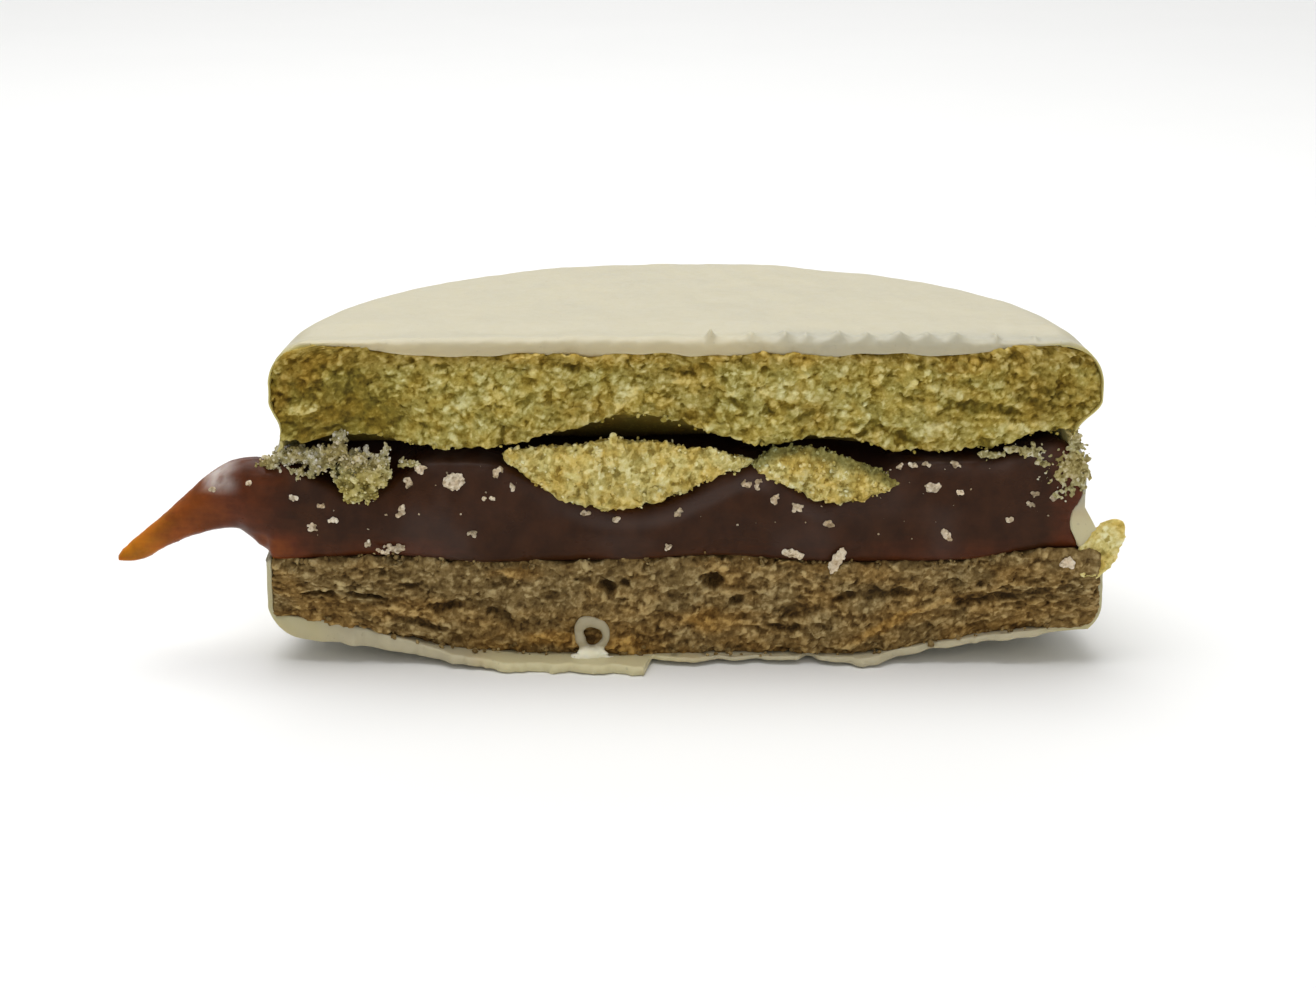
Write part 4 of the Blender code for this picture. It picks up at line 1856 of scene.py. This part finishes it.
        # The cut edge's colour fades on the right so that the painted shade there shows.
        edge = (0.25 + 0.75 * smooth((1 - outer) / 0.75)) * lip * (1 - 0.5 * rise(x, 3, 8))
        flap = fall(z, 1.0, 1.2) * fall(y, 0, 2.5)
        waist = waist * (1 - flap)
        # Painted light: the flap's middle takes the flap colour, lighter than the glaze.
        edge = np.maximum(0.5 * edge, flap * (0.2 + 0.6 * rise(x, -18, 4) * smooth((3.3 - x) / 6)))
        web = bump(z, 10.8, 3.4) * rise(x, 28, 1.5) * fall(y, 0, 2.5)
        edge = np.maximum(edge, 0.8 * web)
        waist = waist * (1 - web)
        # Painted shade on the lip's right half, near the cut, in the grey mark.
        shaded = 0.55 * rise(x, 3, 6) * rise(z, 22, 2) * fall(y, 0, 5)
        return np.column_stack([stain, np.maximum(waist, shaded), edge])

    def build(self) -> Piece:
        """Makes the coating as a dressed piece.

        Returns:
            The new object.
        """
        form, side_of = self.form()
        mesh = to_mesh("white_coating", form)
        corners = vectors(mesh.vertices) / MM
        out = vectors(mesh.vertex_normals, "vector")
        noise = Noise(45)
        sway = 0.13 * noise.fractal(corners, 8.0, 2) + 0.035 * noise.fractal(corners, 1.6, 2)
        corners = corners + out * (sway * side_of)[:, None]
        corners[:, 2] = np.maximum(corners[:, 2], 0)
        mesh.vertices.foreach_set("co", (corners * MM).astype(np.float32).ravel())
        mesh.update()
        return place(mesh, form.paint, CoatingFinish(), Slot.COATING, "coating")


# --- broken bits and crumbs


def dusted(name: str, form: Form, count: int, size: float, seed: int, pit: float) -> tuple[Mesh, Array]:
    """Scatters tiny grains over a form and makes it a mesh.

    Args:
        name: the mesh's name.
        form: the form, with its paint.
        count: how many grains.
        size: the half size of a middling grain, in mm.
        seed: the seed of their places.
        pit: the depth in mm that counts as a full pit.

    Returns:
        The mesh and its marks; each grain is a closed lump of its own.
    """
    pile = GrainPile(seed + 7)
    rng = pile.rng
    picks = rng.integers(0, len(form.corners), count)
    for corner in form.corners[picks]:
        grain = size * (0.5 + rng.random())
        pile.add(corner + rng.normal(0, 0.07, 3), grain * (0.6 + 0.8 * rng.random(3)), 0)
    grains = pile.form()
    around = len(grains.corners) // count
    grains.paint = np.repeat(form.paint[picks], around, axis=0)
    grains.paint[:, 0] += np.repeat(rng.normal(0.05, 0.4, count), around)
    form = form.joined(grains)
    mesh = to_mesh(name, form)
    # The second mark is painted shade: pits darker, tips lighter.
    form.paint[:, 1] = cavity(mesh, 6, pit)
    return mesh, form.paint


@dataclass
class BrokenBit:
    """A broken bit of biscuit, given by the outline of its face; it slopes down towards its back."""

    name: str
    node: str
    top_line: Line
    bottom_line: Line
    depth: float
    jut: float
    seed: int
    grains: int
    grain_size: float
    spurs: tuple[Trio, ...] = ()
    # How much darker the top of the face is painted: a painted shade.
    painted_top_shade: float = 0.0
    voxel: float = 0.12
    slope: float = 0.38
    fuzz: int = 900

    def line(self, points: Line, x: float) -> float:
        """The ragged level of one of the face's outlines at x."""
        ragged = 0.14 * math.sin(5.1 * x + points[0][1]) * math.sin(1.9 * x + 1) + 0.06 * math.sin(11 * x)
        return float(np.interp(x, *zip(*points))) + ragged

    def front(self, share: float, room: float) -> float:
        """How far behind the cut the bit's bulging face lies, at a share of its height."""
        bulge = math.sin(math.pi * min(max(share, 0.04), 0.96)) ** 0.5
        return 0.15 - self.jut * bulge * room

    def pile(self) -> GrainPile:
        """Gathers the grains of the bit.

        Returns:
            A core of grains with a rough skin of them round it.
        """
        pile = GrainPile(self.seed)
        left, right = self.top_line[0][0], self.top_line[-1][0]
        middle, half = (left + right) / 2, (right - left) / 2
        for x in np.linspace(left + 0.4, right - 0.4, int(2 * half / 0.3)):
            high, low = self.line(self.top_line, x), self.line(self.bottom_line, x)
            tall = high - low
            room = math.sqrt(max(1 - ((x - middle) / half) ** 2, 0.05))
            for share in (0.2, 0.5, 0.8):
                front = self.front(share, room) + 0.07
                reach = 0.45 * self.depth * room
                for part in (0.35, 1.0, 1.65):
                    y = front + part * reach
                    z = low + share * tall - self.slope * (y - front)
                    pile.add((x, y, z), (0.55, 0.45 * reach, 0.24 * tall), 0.4)
        rng = pile.rng
        for _ in range(self.grains):
            x = left + (right - left) * rng.random()
            high, low = self.line(self.top_line, x), self.line(self.bottom_line, x)
            room = math.sqrt(max(1 - ((x - middle) / half) ** 2, 0.02))
            size = self.grain_size * (0.35 + 1.2 * rng.random() ** 2.5)
            size = min(size, 0.35 * (high - low) + 0.08)
            inner = 0.6 * size
            outside = rng.random() < 0.62
            share = rng.random() if outside else float(rng.random() < 0.75)
            back = 0.05 * rng.random() if outside else rng.random() ** 1.5
            y = self.front(share, room) * (1 - back) + back * 0.95 * self.depth * room
            drop = self.slope * max(y - self.front(share, room), 0)
            z = low + inner + (high - low - 2 * inner) * share - drop
            pile.add((x, y, z), size * (0.6 + 0.7 * rng.random(3)), rng.normal(0.5, 0.28))
        for x, z, size in self.spurs:
            pile.heap((x, -self.jut * 0.5, z), (size, size * 0.5, size), 16, 0.17)
        return pile

    def build(self) -> Piece:
        """Makes the bit as a dressed piece.

        Returns:
            The new object.
        """
        pile = self.pile()
        form = melted(pile.form(tumble=False), self.voxel)
        noise = Noise(self.seed)
        tints = pile.nearest_tints(form.corners)
        form.corners += 0.07 * noise.push(form.corners, 0.35, 2)
        form.corners[:, 1] -= 0.3 * noise.fractal(form.corners + 50, 1.5, 2)
        patches = smooth(0.1 + 0.9 * noise.fractal(form.corners, 1.6, 3))
        top = np.interp(form.corners[:, 0], *zip(*self.top_line))
        # Painted shade: the top of the face loses its pale tint and takes the finish's toast colour.
        shade = self.painted_top_shade * smooth((form.corners[:, 2] - top + 1.1) / 0.9)
        form.paint = np.column_stack([tints * (1 - shade), 0 * tints, 0.5 * patches + shade])
        fuzzy = dusted(self.name, form, self.fuzz, 0.10, self.seed, 0.16)
        return place(*fuzzy, BROKEN_CRUMB, Slot.BROKEN, self.node)


@dataclass
class CrumbClump:
    """The fluffy clump of crumbs at the left, stuck on the caramel."""

    name: str = "broken_crumb_left"
    node: str = "broken_piece_left"
    seed: int = 53
    voxel: float = 0.11
    # Each heap is its middle, how far it reaches, its number of grains and their size.
    heaps: tuple[tuple[Trio, Trio, int, float], ...] = (
        ((-25.2, 0.3, 15.3), (2.0, 1.2, 1.3), 170, 0.25), ((-25.2, -0.2, 14.2), (1.3, 0.8, 1.0), 110, 0.22),
        ((-25.7, -0.1, 16.6), (1.9, 0.9, 1.0), 150, 0.17), ((-26.6, -0.2, 18.0), (0.6, 0.5, 1.1), 70, 0.13),
        ((-27.3, -0.2, 17.4), (0.9, 0.4, 0.5), 40, 0.12), ((-23.5, -0.2, 15.9), (0.8, 0.7, 1.3), 90, 0.17),
        ((-23.0, -0.3, 17.3), (0.3, 0.3, 0.8), 30, 0.10), ((-28.5, 0.1, 16.6), (1.2, 0.7, 0.9), 120, 0.16),
        ((-30.2, 0.4, 16.9), (1.5, 0.6, 0.7), 130, 0.15), ((-31.6, 0.5, 16.2), (1.2, 0.5, 0.7), 80, 0.13),
        ((-29.4, -0.2, 15.6), (1.8, 0.4, 0.5), 60, 0.10), ((-32.6, 0.8, 15.8), (0.8, 0.5, 0.5), 36, 0.11),
        ((-21.5, 0.2, 16.2), (0.9, 0.4, 0.25), 30, 0.11),
    )

    def pile(self) -> GrainPile:
        """Gathers the grains of the clump.

        Returns:
            The grains, core first.
        """
        pile = GrainPile(self.seed)
        for centre, spread, count, size in self.heaps:
            pile.heap(centre, spread, count, size)
        return pile

    def build(self) -> Piece:
        """Makes the clump as a dressed piece.

        Returns:
            The new object.
        """
        pile = self.pile()
        form = melted(pile.form(), self.voxel)
        tints = pile.nearest_tints(form.corners)
        x, _, z = form.corners.T
        cloud = Noise(self.seed).fractal(form.corners, 1.1, 3)
        greyer = 0.1 + 0.9 * np.maximum(rise(z, 15.3, 1.5), rise(-x, 26.8, 1.5))
        greyer = np.clip(greyer + 0.4 * cloud, 0, 1)
        form.paint = np.column_stack([np.clip(tints - 0.04 + 0.4 * cloud, 0, 1), 0 * tints, greyer])
        fuzzy = dusted(self.name, form, 1300, 0.085, self.seed, 0.14)
        return place(*fuzzy, GREY_CRUMB, Slot.BROKEN, self.node)


BROKEN_BITS = (
    BrokenBit(
        name="broken_crumb_middle",
        node="broken_piece_middle",
        top_line=(
            (-13.9, 17.1), (-12.0, 17.5), (-10.6, 17.6), (-7.5, 17.9), (-5.6, 18.3), (-3.5, 18.0),
            (-1.5, 17.9), (0.5, 17.4), (2.0, 17.5), (3.3, 16.9), (5.1, 16.5),
        ),
        bottom_line=(
            (-13.9, 16.8), (-12.6, 15.9), (-11.6, 15.1), (-9.6, 13.7), (-5.8, 12.9), (-2.5, 13.5),
            (-0.5, 14.3), (2.5, 15.6), (5.1, 16.3),
        ),
        depth=7.0, jut=0.9, seed=51, grains=2100, grain_size=0.24,
        spurs=((2.0, 17.4, 0.35), (-5.6, 18.1, 0.45), (-13.3, 17.0, 0.5)),
    ),
    BrokenBit(
        name="broken_crumb_right",
        node="broken_piece_right",
        top_line=(
            (5.4, 16.3), (6.3, 17.1), (7.3, 17.6), (9.5, 17.6), (12.4, 16.7), (14.4, 15.9), (16.3, 14.8),
        ),
        bottom_line=(
            (5.4, 16.0), (6.5, 15.4), (8.5, 14.5), (10.2, 13.6), (13.8, 13.5), (15.3, 14.0), (16.3, 14.6)
        ),
        depth=5.4, jut=0.8, seed=52, grains=1200, grain_size=0.23, painted_top_shade=0.8,
        spurs=((6.0, 16.6, 0.35), (15.6, 14.6, 0.4)),
    ),
)


def chips(name: str, pile: GrainPile, finish: CrumbFinish, zone: float = 0.0) -> Piece:
    """Fuses a pile's grains into small irregular crumbs and dresses them as one piece.

    Args:
        name: the piece's name.
        pile: the grains.
        finish: what the crumbs are made of.
        zone: how far the finish's toast colour shows, from 0 to 1.

    Returns:
        The new object.
    """
    form = melted(pile.form(), 0.07)
    tints = pile.nearest_tints(form.corners)
    noise = Noise(len(tints))
    form.corners += 0.05 * np.column_stack([noise.at(form.corners + 30 * n, 0.25) for n in range(3)])
    mesh = to_mesh(name, form)
    # Its cavity mark is painted shade in the pits.
    marks = np.column_stack([tints, cavity(mesh, 5, 0.1), np.full(len(tints), zone)])
    return place(mesh, marks, finish, Slot.BROKEN)


@dataclass(frozen=True)
class Fleck:
    """A crumb on the caramel: where it lies, its length and width in mm, and its tilt in degrees."""

    x: float
    z: float
    length: float
    width: float
    tilt: float = 0.0
    pale: float = 0.7


@dataclass
class LooseCrumbs:
    """Pale crumbs that stick to the caramel's face."""

    # Each row is x, z, length, width, tilt and pale.
    flecks: tuple[Fleck, ...] = each(
        Fleck,
        (-30.2, 13.7, 0.42, 0.35), (-28.8, 11.3, 0.71, 0.5, -30), (-28.2, 13.1, 0.42, 0.35),
        (-27.1, 11.9, 0.53, 0.48), (-22.8, 9.5, 2.2, 0.5, 4, 0.75), (-24.6, 10.0, 0.48, 0.35, 50),
        (-22.0, 12.5, 1.01, 0.5, 60), (-21.5, 14.6, 0.77, 0.53, 60), (-17.8, 14.9, 1.5, 1.05, 10, 0.9),
        (-20.4, 15.8, 0.89, 0.5, -20), (-15.2, 13.6, 0.77, 0.3), (-16.5, 10.9, 0.48, 0.42, 0, 0.5),
        (-14.4, 15.6, 0.89, 0.59, 30), (-13.3, 14.6, 0.77, 0.24, 85), (-7.7, 12.3, 0.59, 0.34, -10, 0.5),
        (-5.2, 11.9, 0.59, 0.42), (-0.5, 12.5, 0.48, 0.35, 30, 0.5), (-1.3, 9.7, 0.83, 0.38, 35),
        (4.7, 14.6, 0.83, 0.48, 20), (5.6, 14.7, 0.77, 0.35, 80), (7.0, 13.5, 0.71, 0.66, 60),
        (8.5, 12.95, 0.95, 0.4, -8), (11.1, 11.6, 0.71, 0.24, -20), (8.4, 9.15, 1.4, 0.5, -10, 0.95),
        (11.8, 8.7, 2.0, 0.65, 64, 1.35), (19.1, 14.4, 0.95, 0.65, 0, 0.9), (21.2, 14.2, 0.38, 0.34),
        (20.3, 10.7, 1.1, 0.5, -50), (16.6, 16.0, 0.42, 0.3), (17.6, 16.1, 0.42, 0.35),
        (18.6, 16.2, 0.42, 0.26), (20.9, 16.2, 0.77, 0.38, -30), (27.0, 14.0, 0.42, 0.35, 0, 0.5),
        (28.4, 13.6, 0.53, 0.35, 20, 0.5), (26.6, 13.2, 0.42, 0.26, 0, 0.5), (29.7, 8.4, 0.8, 0.7, 0, 1.2),
        (25.1, 12.0, 0.35, 0.24), (-33.6, 14.6, 0.48, 0.42), (-36.5, 14.3, 0.42, 0.35, 0, 0.5),
    )
    dust: int = 70
    seed: int = 61

    def build(self) -> Piece:
        """Makes the crumbs as one dressed piece.

        Returns:
            The new object.
        """
        pile = GrainPile(self.seed)
        rng = pile.rng
        for fleck in self.flecks:
            turn = math.radians(fleck.tilt)
            full = 12 if fleck.pale < 0.9 else 34
            for _ in range(3 + int(full * fleck.length * fleck.width)):
                along = rng.uniform(-0.5, 0.5)
                across = 0.5 * rng.uniform(-1, 1) * math.sqrt(1.02 - 4 * along * along)
                off_x, off_z = along * fleck.length, across * fleck.width
                x = fleck.x + off_x * math.cos(turn) - off_z * math.sin(turn)
                z = fleck.z + off_z * math.cos(turn) + off_x * math.sin(turn)
                pale = fleck.pale + rng.normal(-0.1, 0.28)
                lean = turn + rng.normal(0, 0.9)
                for step in rng.uniform(-0.16, 0.16, 4):
                    grain_x, grain_z = x + step * math.cos(lean), z + step * math.sin(lean)
                    self._drop(pile, grain_x, grain_z, rng.uniform(0.07, 0.16), pale)
        for _ in range(self.dust):
            x = rng.uniform(-31, 29)
            z = 9.3 + 7.0 * rng.random() ** (0.55 if rng.random() < 0.7 else 1.0)
            top = float(COOKIE.caramel_top(np.array([x]), np.zeros(1))[0])
            if z < top - 0.2:
                self._drop(pile, x, z, rng.uniform(0.05, 0.11), rng.normal(0.3, 0.2))
        return chips("loose_crumbs", pile, PALE_CRUMB)

    def _drop(self, pile: GrainPile, x: float, z: float, size: float, pale: float) -> None:
        """Presses one grain onto the caramel's face.

        Args:
            pile: the pile that takes it.
            x: its place along the cut.
            z: its level.
            size: its half size, in mm.
            pale: how pale it is, from 0 to 1.
        """
        y = CARAMEL.front_at(x, z) - size * pile.rng.uniform(-0.2, 0.7)
        if x < -30.5:
            y = -0.35
        if z < 9.6:
            y = min(y, float(lower_front(x, z)) - 0.3)
        grain = size * (0.6 + 0.8 * pile.rng.random(3))
        pile.add((x, y, z), grain, pale + pile.rng.normal(0, 0.08))


@dataclass
class EdgeCrumbs:
    """Grains that fringe a biscuit's broken edge."""

    name: str
    slot: Slot
    finish: CrumbFinish
    level: Callable[[Array], Array]
    left: float
    right: float
    per_mm: float
    size: float
    spread: float
    seed: int
    depth: float = 0.15

    def build(self) -> Piece:
        """Makes the fringe as one dressed piece.

        Returns:
            The new object.
        """
        pile = GrainPile(self.seed)
        rng = pile.rng
        for _ in range(int((self.right - self.left) * self.per_mm)):
            x = rng.uniform(self.left, self.right)
            x += 0.5 * math.sin(2.1 * x) * math.sin(0.7 * x + 1)
            level = float(self.level(np.array([x]))[0])
            size = self.size * (0.45 + 0.9 * rng.random() ** 2)
            z = level + rng.normal(0, self.spread)
            y = self.depth + rng.normal(0, 0.22)
            pile.add((x, y, z), size * (0.75 + 0.5 * rng.random(3)), rng.normal(0.5, 0.22))
        form = pile.form()
        form.corners = COOKIE.settle(form.corners)
        # This darkens one side of each grain a little, through the crumb's painted pit shade.
        form.paint[:, 1] = 0.45 + 0.2 * (form.paint[:, 1] - 0.5)
        return place(to_mesh(self.name, form), form.paint, self.finish, self.slot)


def fringes() -> tuple[EdgeCrumbs, ...]:
    """Lists the fringes along the edges of the two biscuits.

    Returns:
        The three fringes.
    """
    return (
        EdgeCrumbs(
            "upper_edge_crumbs", Slot.UPPER, UPPER_CRUMB, lambda x: COOKIE.upper_underside(x, 0 * x) + 0.1,
            left=-29.5, right=29.5, per_mm=2, size=0.15, spread=0.12, seed=71,
        ),
        EdgeCrumbs(
            "lower_edge_crumbs", Slot.LOWER, LOWER_CRUMB, lambda x: COOKIE.base_upper_side(x, x) - 0.1,
            left=-31.0, right=31.0, per_mm=3, size=0.16, spread=0.22, seed=72, depth=-0.1,
        ),
        EdgeCrumbs(
            "bottom_edge_crumbs", Slot.LOWER, LOWER_CRUMB, lambda x: 0.95 + COOKIE.floor_rise(x, 0 * x),
            left=-29, right=29, per_mm=2, size=0.18, spread=0.2, seed=73, depth=-0.2,
        ),
    )


@dataclass
class SmallThings:
    """The flake on the right side, the crumbs at the right end and the air bubble at the bottom."""

    flake_grains: int = 760
    flake_grain: float = 0.21
    # Each heap is its x and z, how far it reaches along them and its number of grains.
    heaps: tuple[tuple[float, float, float, float, int], ...] = (
        (29.8, 16.1, 1.1, 0.9, 230), (30.4, 15.0, 0.6, 0.7, 90), (28.4, 15.1, 0.9, 0.5, 26),
        (29.2, 14.3, 0.7, 0.5, 26), (26.6, 17.2, 1.0, 0.4, 90), (23.4, 17.0, 0.9, 0.25, 60),
        (27.7, 16.4, 0.7, 0.5, 30), (30.2, 17.3, 0.6, 0.5, 60), (25.2, 17.4, 0.6, 0.3, 30),
        (30.0, 18.2, 0.5, 0.5, 50),
    )
    bubble: tuple[float, float] = (-7.3, 2.5)
    ring: float = 1.06
    tube: float = 0.38
    around: int = 40
    across: int = 14

    def side_flake(self) -> Piece:
        """Makes the flake: a curled, grainy scale that stands off the side.

        Returns:
            The new object.
        """
        pile = GrainPile(81)
        rng = pile.rng
        for _ in range(self.flake_grains):
            along = rng.random()
            bulge = math.sqrt(max(1 - (2 * along - 1) ** 2, 0.05))
            wide = (1.6 - 0.45 * along) * bulge * rng.uniform(-1, 1)
            x = 31.0 + 2.8 * along + 0.84 * wide
            z = 7.4 + 3.9 * along - 0.53 * wide
            y = -0.35 + 1.1 * along + rng.normal(0, 0.14)
            grain = self.flake_grain * (0.5 + rng.random(3))
            pile.add((x, y, z), grain, rng.normal(0.4 + 0.5 * along, 0.25))
        form = melted(pile.form(), 0.13)
        mesh = to_mesh("side_flake", form)
        tints = pile.nearest_tints(form.corners)
        # Its cavity mark is painted shade in the pits.
        marks = np.column_stack([tints, cavity(mesh, 6, 0.14), np.zeros_like(tints)])
        return place(mesh, marks, BROKEN_CRUMB, Slot.BROKEN)

    def end_crumbs(self) -> Piece:
        """Makes the grey-green crumbs near the right end and under the upper biscuit.

        Returns:
            The new object.
        """
        pile = GrainPile(83)
        rng = pile.rng
        for middle_x, middle_z, half_x, half_z, count in self.heaps:
            for _ in range(count):
                x = middle_x + half_x * rng.normal(0, 0.55)
                z = middle_z + half_z * rng.normal(0, 0.55)
                size = 0.07 + 0.13 * rng.random() ** 2
                y = min(CARAMEL.front_at(x, z), 0.1) - rng.uniform(-0.1, 0.15)
                pile.add((x, y, z), size * (0.6 + 0.8 * rng.random(3)), rng.normal(0.5, 0.28))
        return chips("right_end_crumbs", pile, GREY_CRUMB, 0.8)

    def air_bubble(self) -> Piece:
        """Makes the bubble: a grey rim of glaze round a hole, and the glaze that ran down from it.

        Returns:
            The new object.
        """
        corners = []
        for i in range(self.around):
            turn = 2 * math.pi * i / self.around
            ring = self.ring + 0.07 * math.sin(3 * turn + 1) + 0.04 * math.sin(turn + 2)
            tube = self.tube + 0.06 * math.sin(turn - 0.6) + 0.03 * math.sin(4 * turn)
            for k in range(self.across):
                bend = 2 * math.pi * k / self.across
                out = ring + tube * math.cos(bend)
                x = self.bubble[0] + out * math.cos(turn) - 0.1 * math.sin(turn)
                z = self.bubble[1] + out * 1.12 * math.sin(turn)
                corners.append((x, -0.62 - 0.9 * tube * math.sin(bend), z))
        form = facing_out(Form(np.array(corners), hoops(self.around, self.across, closed=True)))
        drip = GrainPile(84)
        for x, z, wide, tall in ((-7.3, 1.1, 1.2, 0.45), (-7.4, 0.8, 1.4, 0.4), (-7.2, 0.5, 1.9, 0.35)):
            drip.add((x, -0.85, z), (wide, 0.6, tall), 0.5)
        form = eased(melted(form.joined(drip.form(tumble=False)), 0.1), 3)
        form.corners += 0.15 * Noise(82).push(form.corners, 0.8, 2)
        on_ring = rise(form.corners[:, 2], 1.2, 0.8)
        # Painted light: the drip takes the glaze's flap colour, lighter than cream.
        marks = np.column_stack([0.1 * on_ring, 0.8 * on_ring, 1 - 0.78 * on_ring])
        return place(to_mesh("air_bubble", form), marks, BUBBLE_GLAZE, Slot.COATING)


# --- the studio


@dataclass
class Studio:
    """A plain pale floor, soft light and the camera; sizes in metres and watts."""

    floor_half: float = 2.5
    key_size: float = 0.42
    key_power: float = 2.1
    fill_size: float = 0.5
    fill_power: float = 0.5
    wash_power: float = 1.9
    sky: float = 0.42
    distance: float = 0.22
    elevation: float = 16.5
    focal: float = 77.8

    def floor(self) -> None:
        """Lays a flat pale floor."""
        mesh = bpy.data.meshes.new("floor")
        half = self.floor_half
        corners = [(-half, -half, 0), (half, -half, 0), (half, half, 0), (-half, half, 0)]
        mesh.from_pydata(corners, [], [[0, 1, 2, 3]])
        bench = Bench("pale_floor")
        pale = bench.mixed(bench.noise(40, 2), (0.87, 0.87, 0.86), (0.89, 0.89, 0.88))
        bench.set(Base_Color=pale, Roughness=0.7, Specular_IOR_Level=0.2)
        mesh.materials.append(bench.material)
        floor = bpy.data.objects.new("floor", mesh)
        bpy.context.scene.collection.objects.link(floor)

    def lamp(self, name: str, place_at: Trio, aim: Trio, size: float, power: float) -> None:
        """Adds a soft square lamp that looks at a point.

        Args:
            name: its name.
            place_at: where it hangs.
            aim: the point that it looks at.
            size: its side.
            power: its power.
        """
        light = bpy.data.lights.new(name, "AREA")
        light.shape = "SQUARE"
        light.size = size
        light.energy = power
        lamp = bpy.data.objects.new(name, light)
        lamp.location = place_at
        lamp.rotation_euler = (Vector(aim) - Vector(place_at)).to_track_quat("-Z", "Y").to_euler()
        bpy.context.scene.collection.objects.link(lamp)

    def lights(self) -> None:
        """Hangs soft light above, a weaker one in front, one over the far floor, and an even sky."""
        middle = (0.0, 0.0, 0.012)
        self.lamp("overhead_softbox", (-0.06, 0.05, 0.46), middle, self.key_size, self.key_power)
        self.lamp("front_fill", (0.12, -0.62, 0.22), middle, self.fill_size, self.fill_power)
        self.lamp("floor_wash", (0.0, 0.85, 0.45), (0.0, 0.8, 0.0), 0.8, self.wash_power)
        world = bpy.data.worlds.new("studio")
        world.use_nodes = True
        backdrop = world.node_tree.nodes["Background"]
        backdrop.inputs["Color"].default_value = (1.0, 1.0, 1.0, 1.0)
        backdrop.inputs["Strength"].default_value = self.sky
        bpy.context.scene.world = world

    def camera(self) -> None:
        """Sets the camera up in front of the cut, looking a little down on it."""
        angle = math.radians(self.elevation)
        target = Vector((-2.1 * MM, COOKIE.cut * MM, 13.8 * MM))
        lens = bpy.data.cameras.new("camera")
        lens.sensor_width = 36
        lens.lens = self.focal
        lens.clip_start = 0.01
        eye = bpy.data.objects.new("camera", lens)
        eye.location = target + self.distance * Vector((0, -math.cos(angle), math.sin(angle)))
        eye.rotation_euler = (target - eye.location).to_track_quat("-Z", "Y").to_euler()
        bpy.context.scene.collection.objects.link(eye)
        bpy.context.scene.camera = eye

    def build(self) -> None:
        """Sets everything up."""
        self.floor()
        self.lights()
        self.camera()
        bpy.context.scene.view_settings.view_transform = "Standard"


# --- the run


def main() -> None:
    logging.basicConfig(level=logging.INFO, format="%(name)s: %(message)s")
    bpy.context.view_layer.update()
    upper_biscuit().build()
    lower_biscuit().build()
    CARAMEL.build()
    Coating().build()
    for bit in BROKEN_BITS:
        bit.build()
    CrumbClump().build()
    LooseCrumbs().build()
    for fringe in fringes():
        fringe.build()
    things = SmallThings()
    things.side_flake()
    things.end_crumbs()
    things.air_bubble()
    Studio().build()


if __name__ == "__main__":
    main()
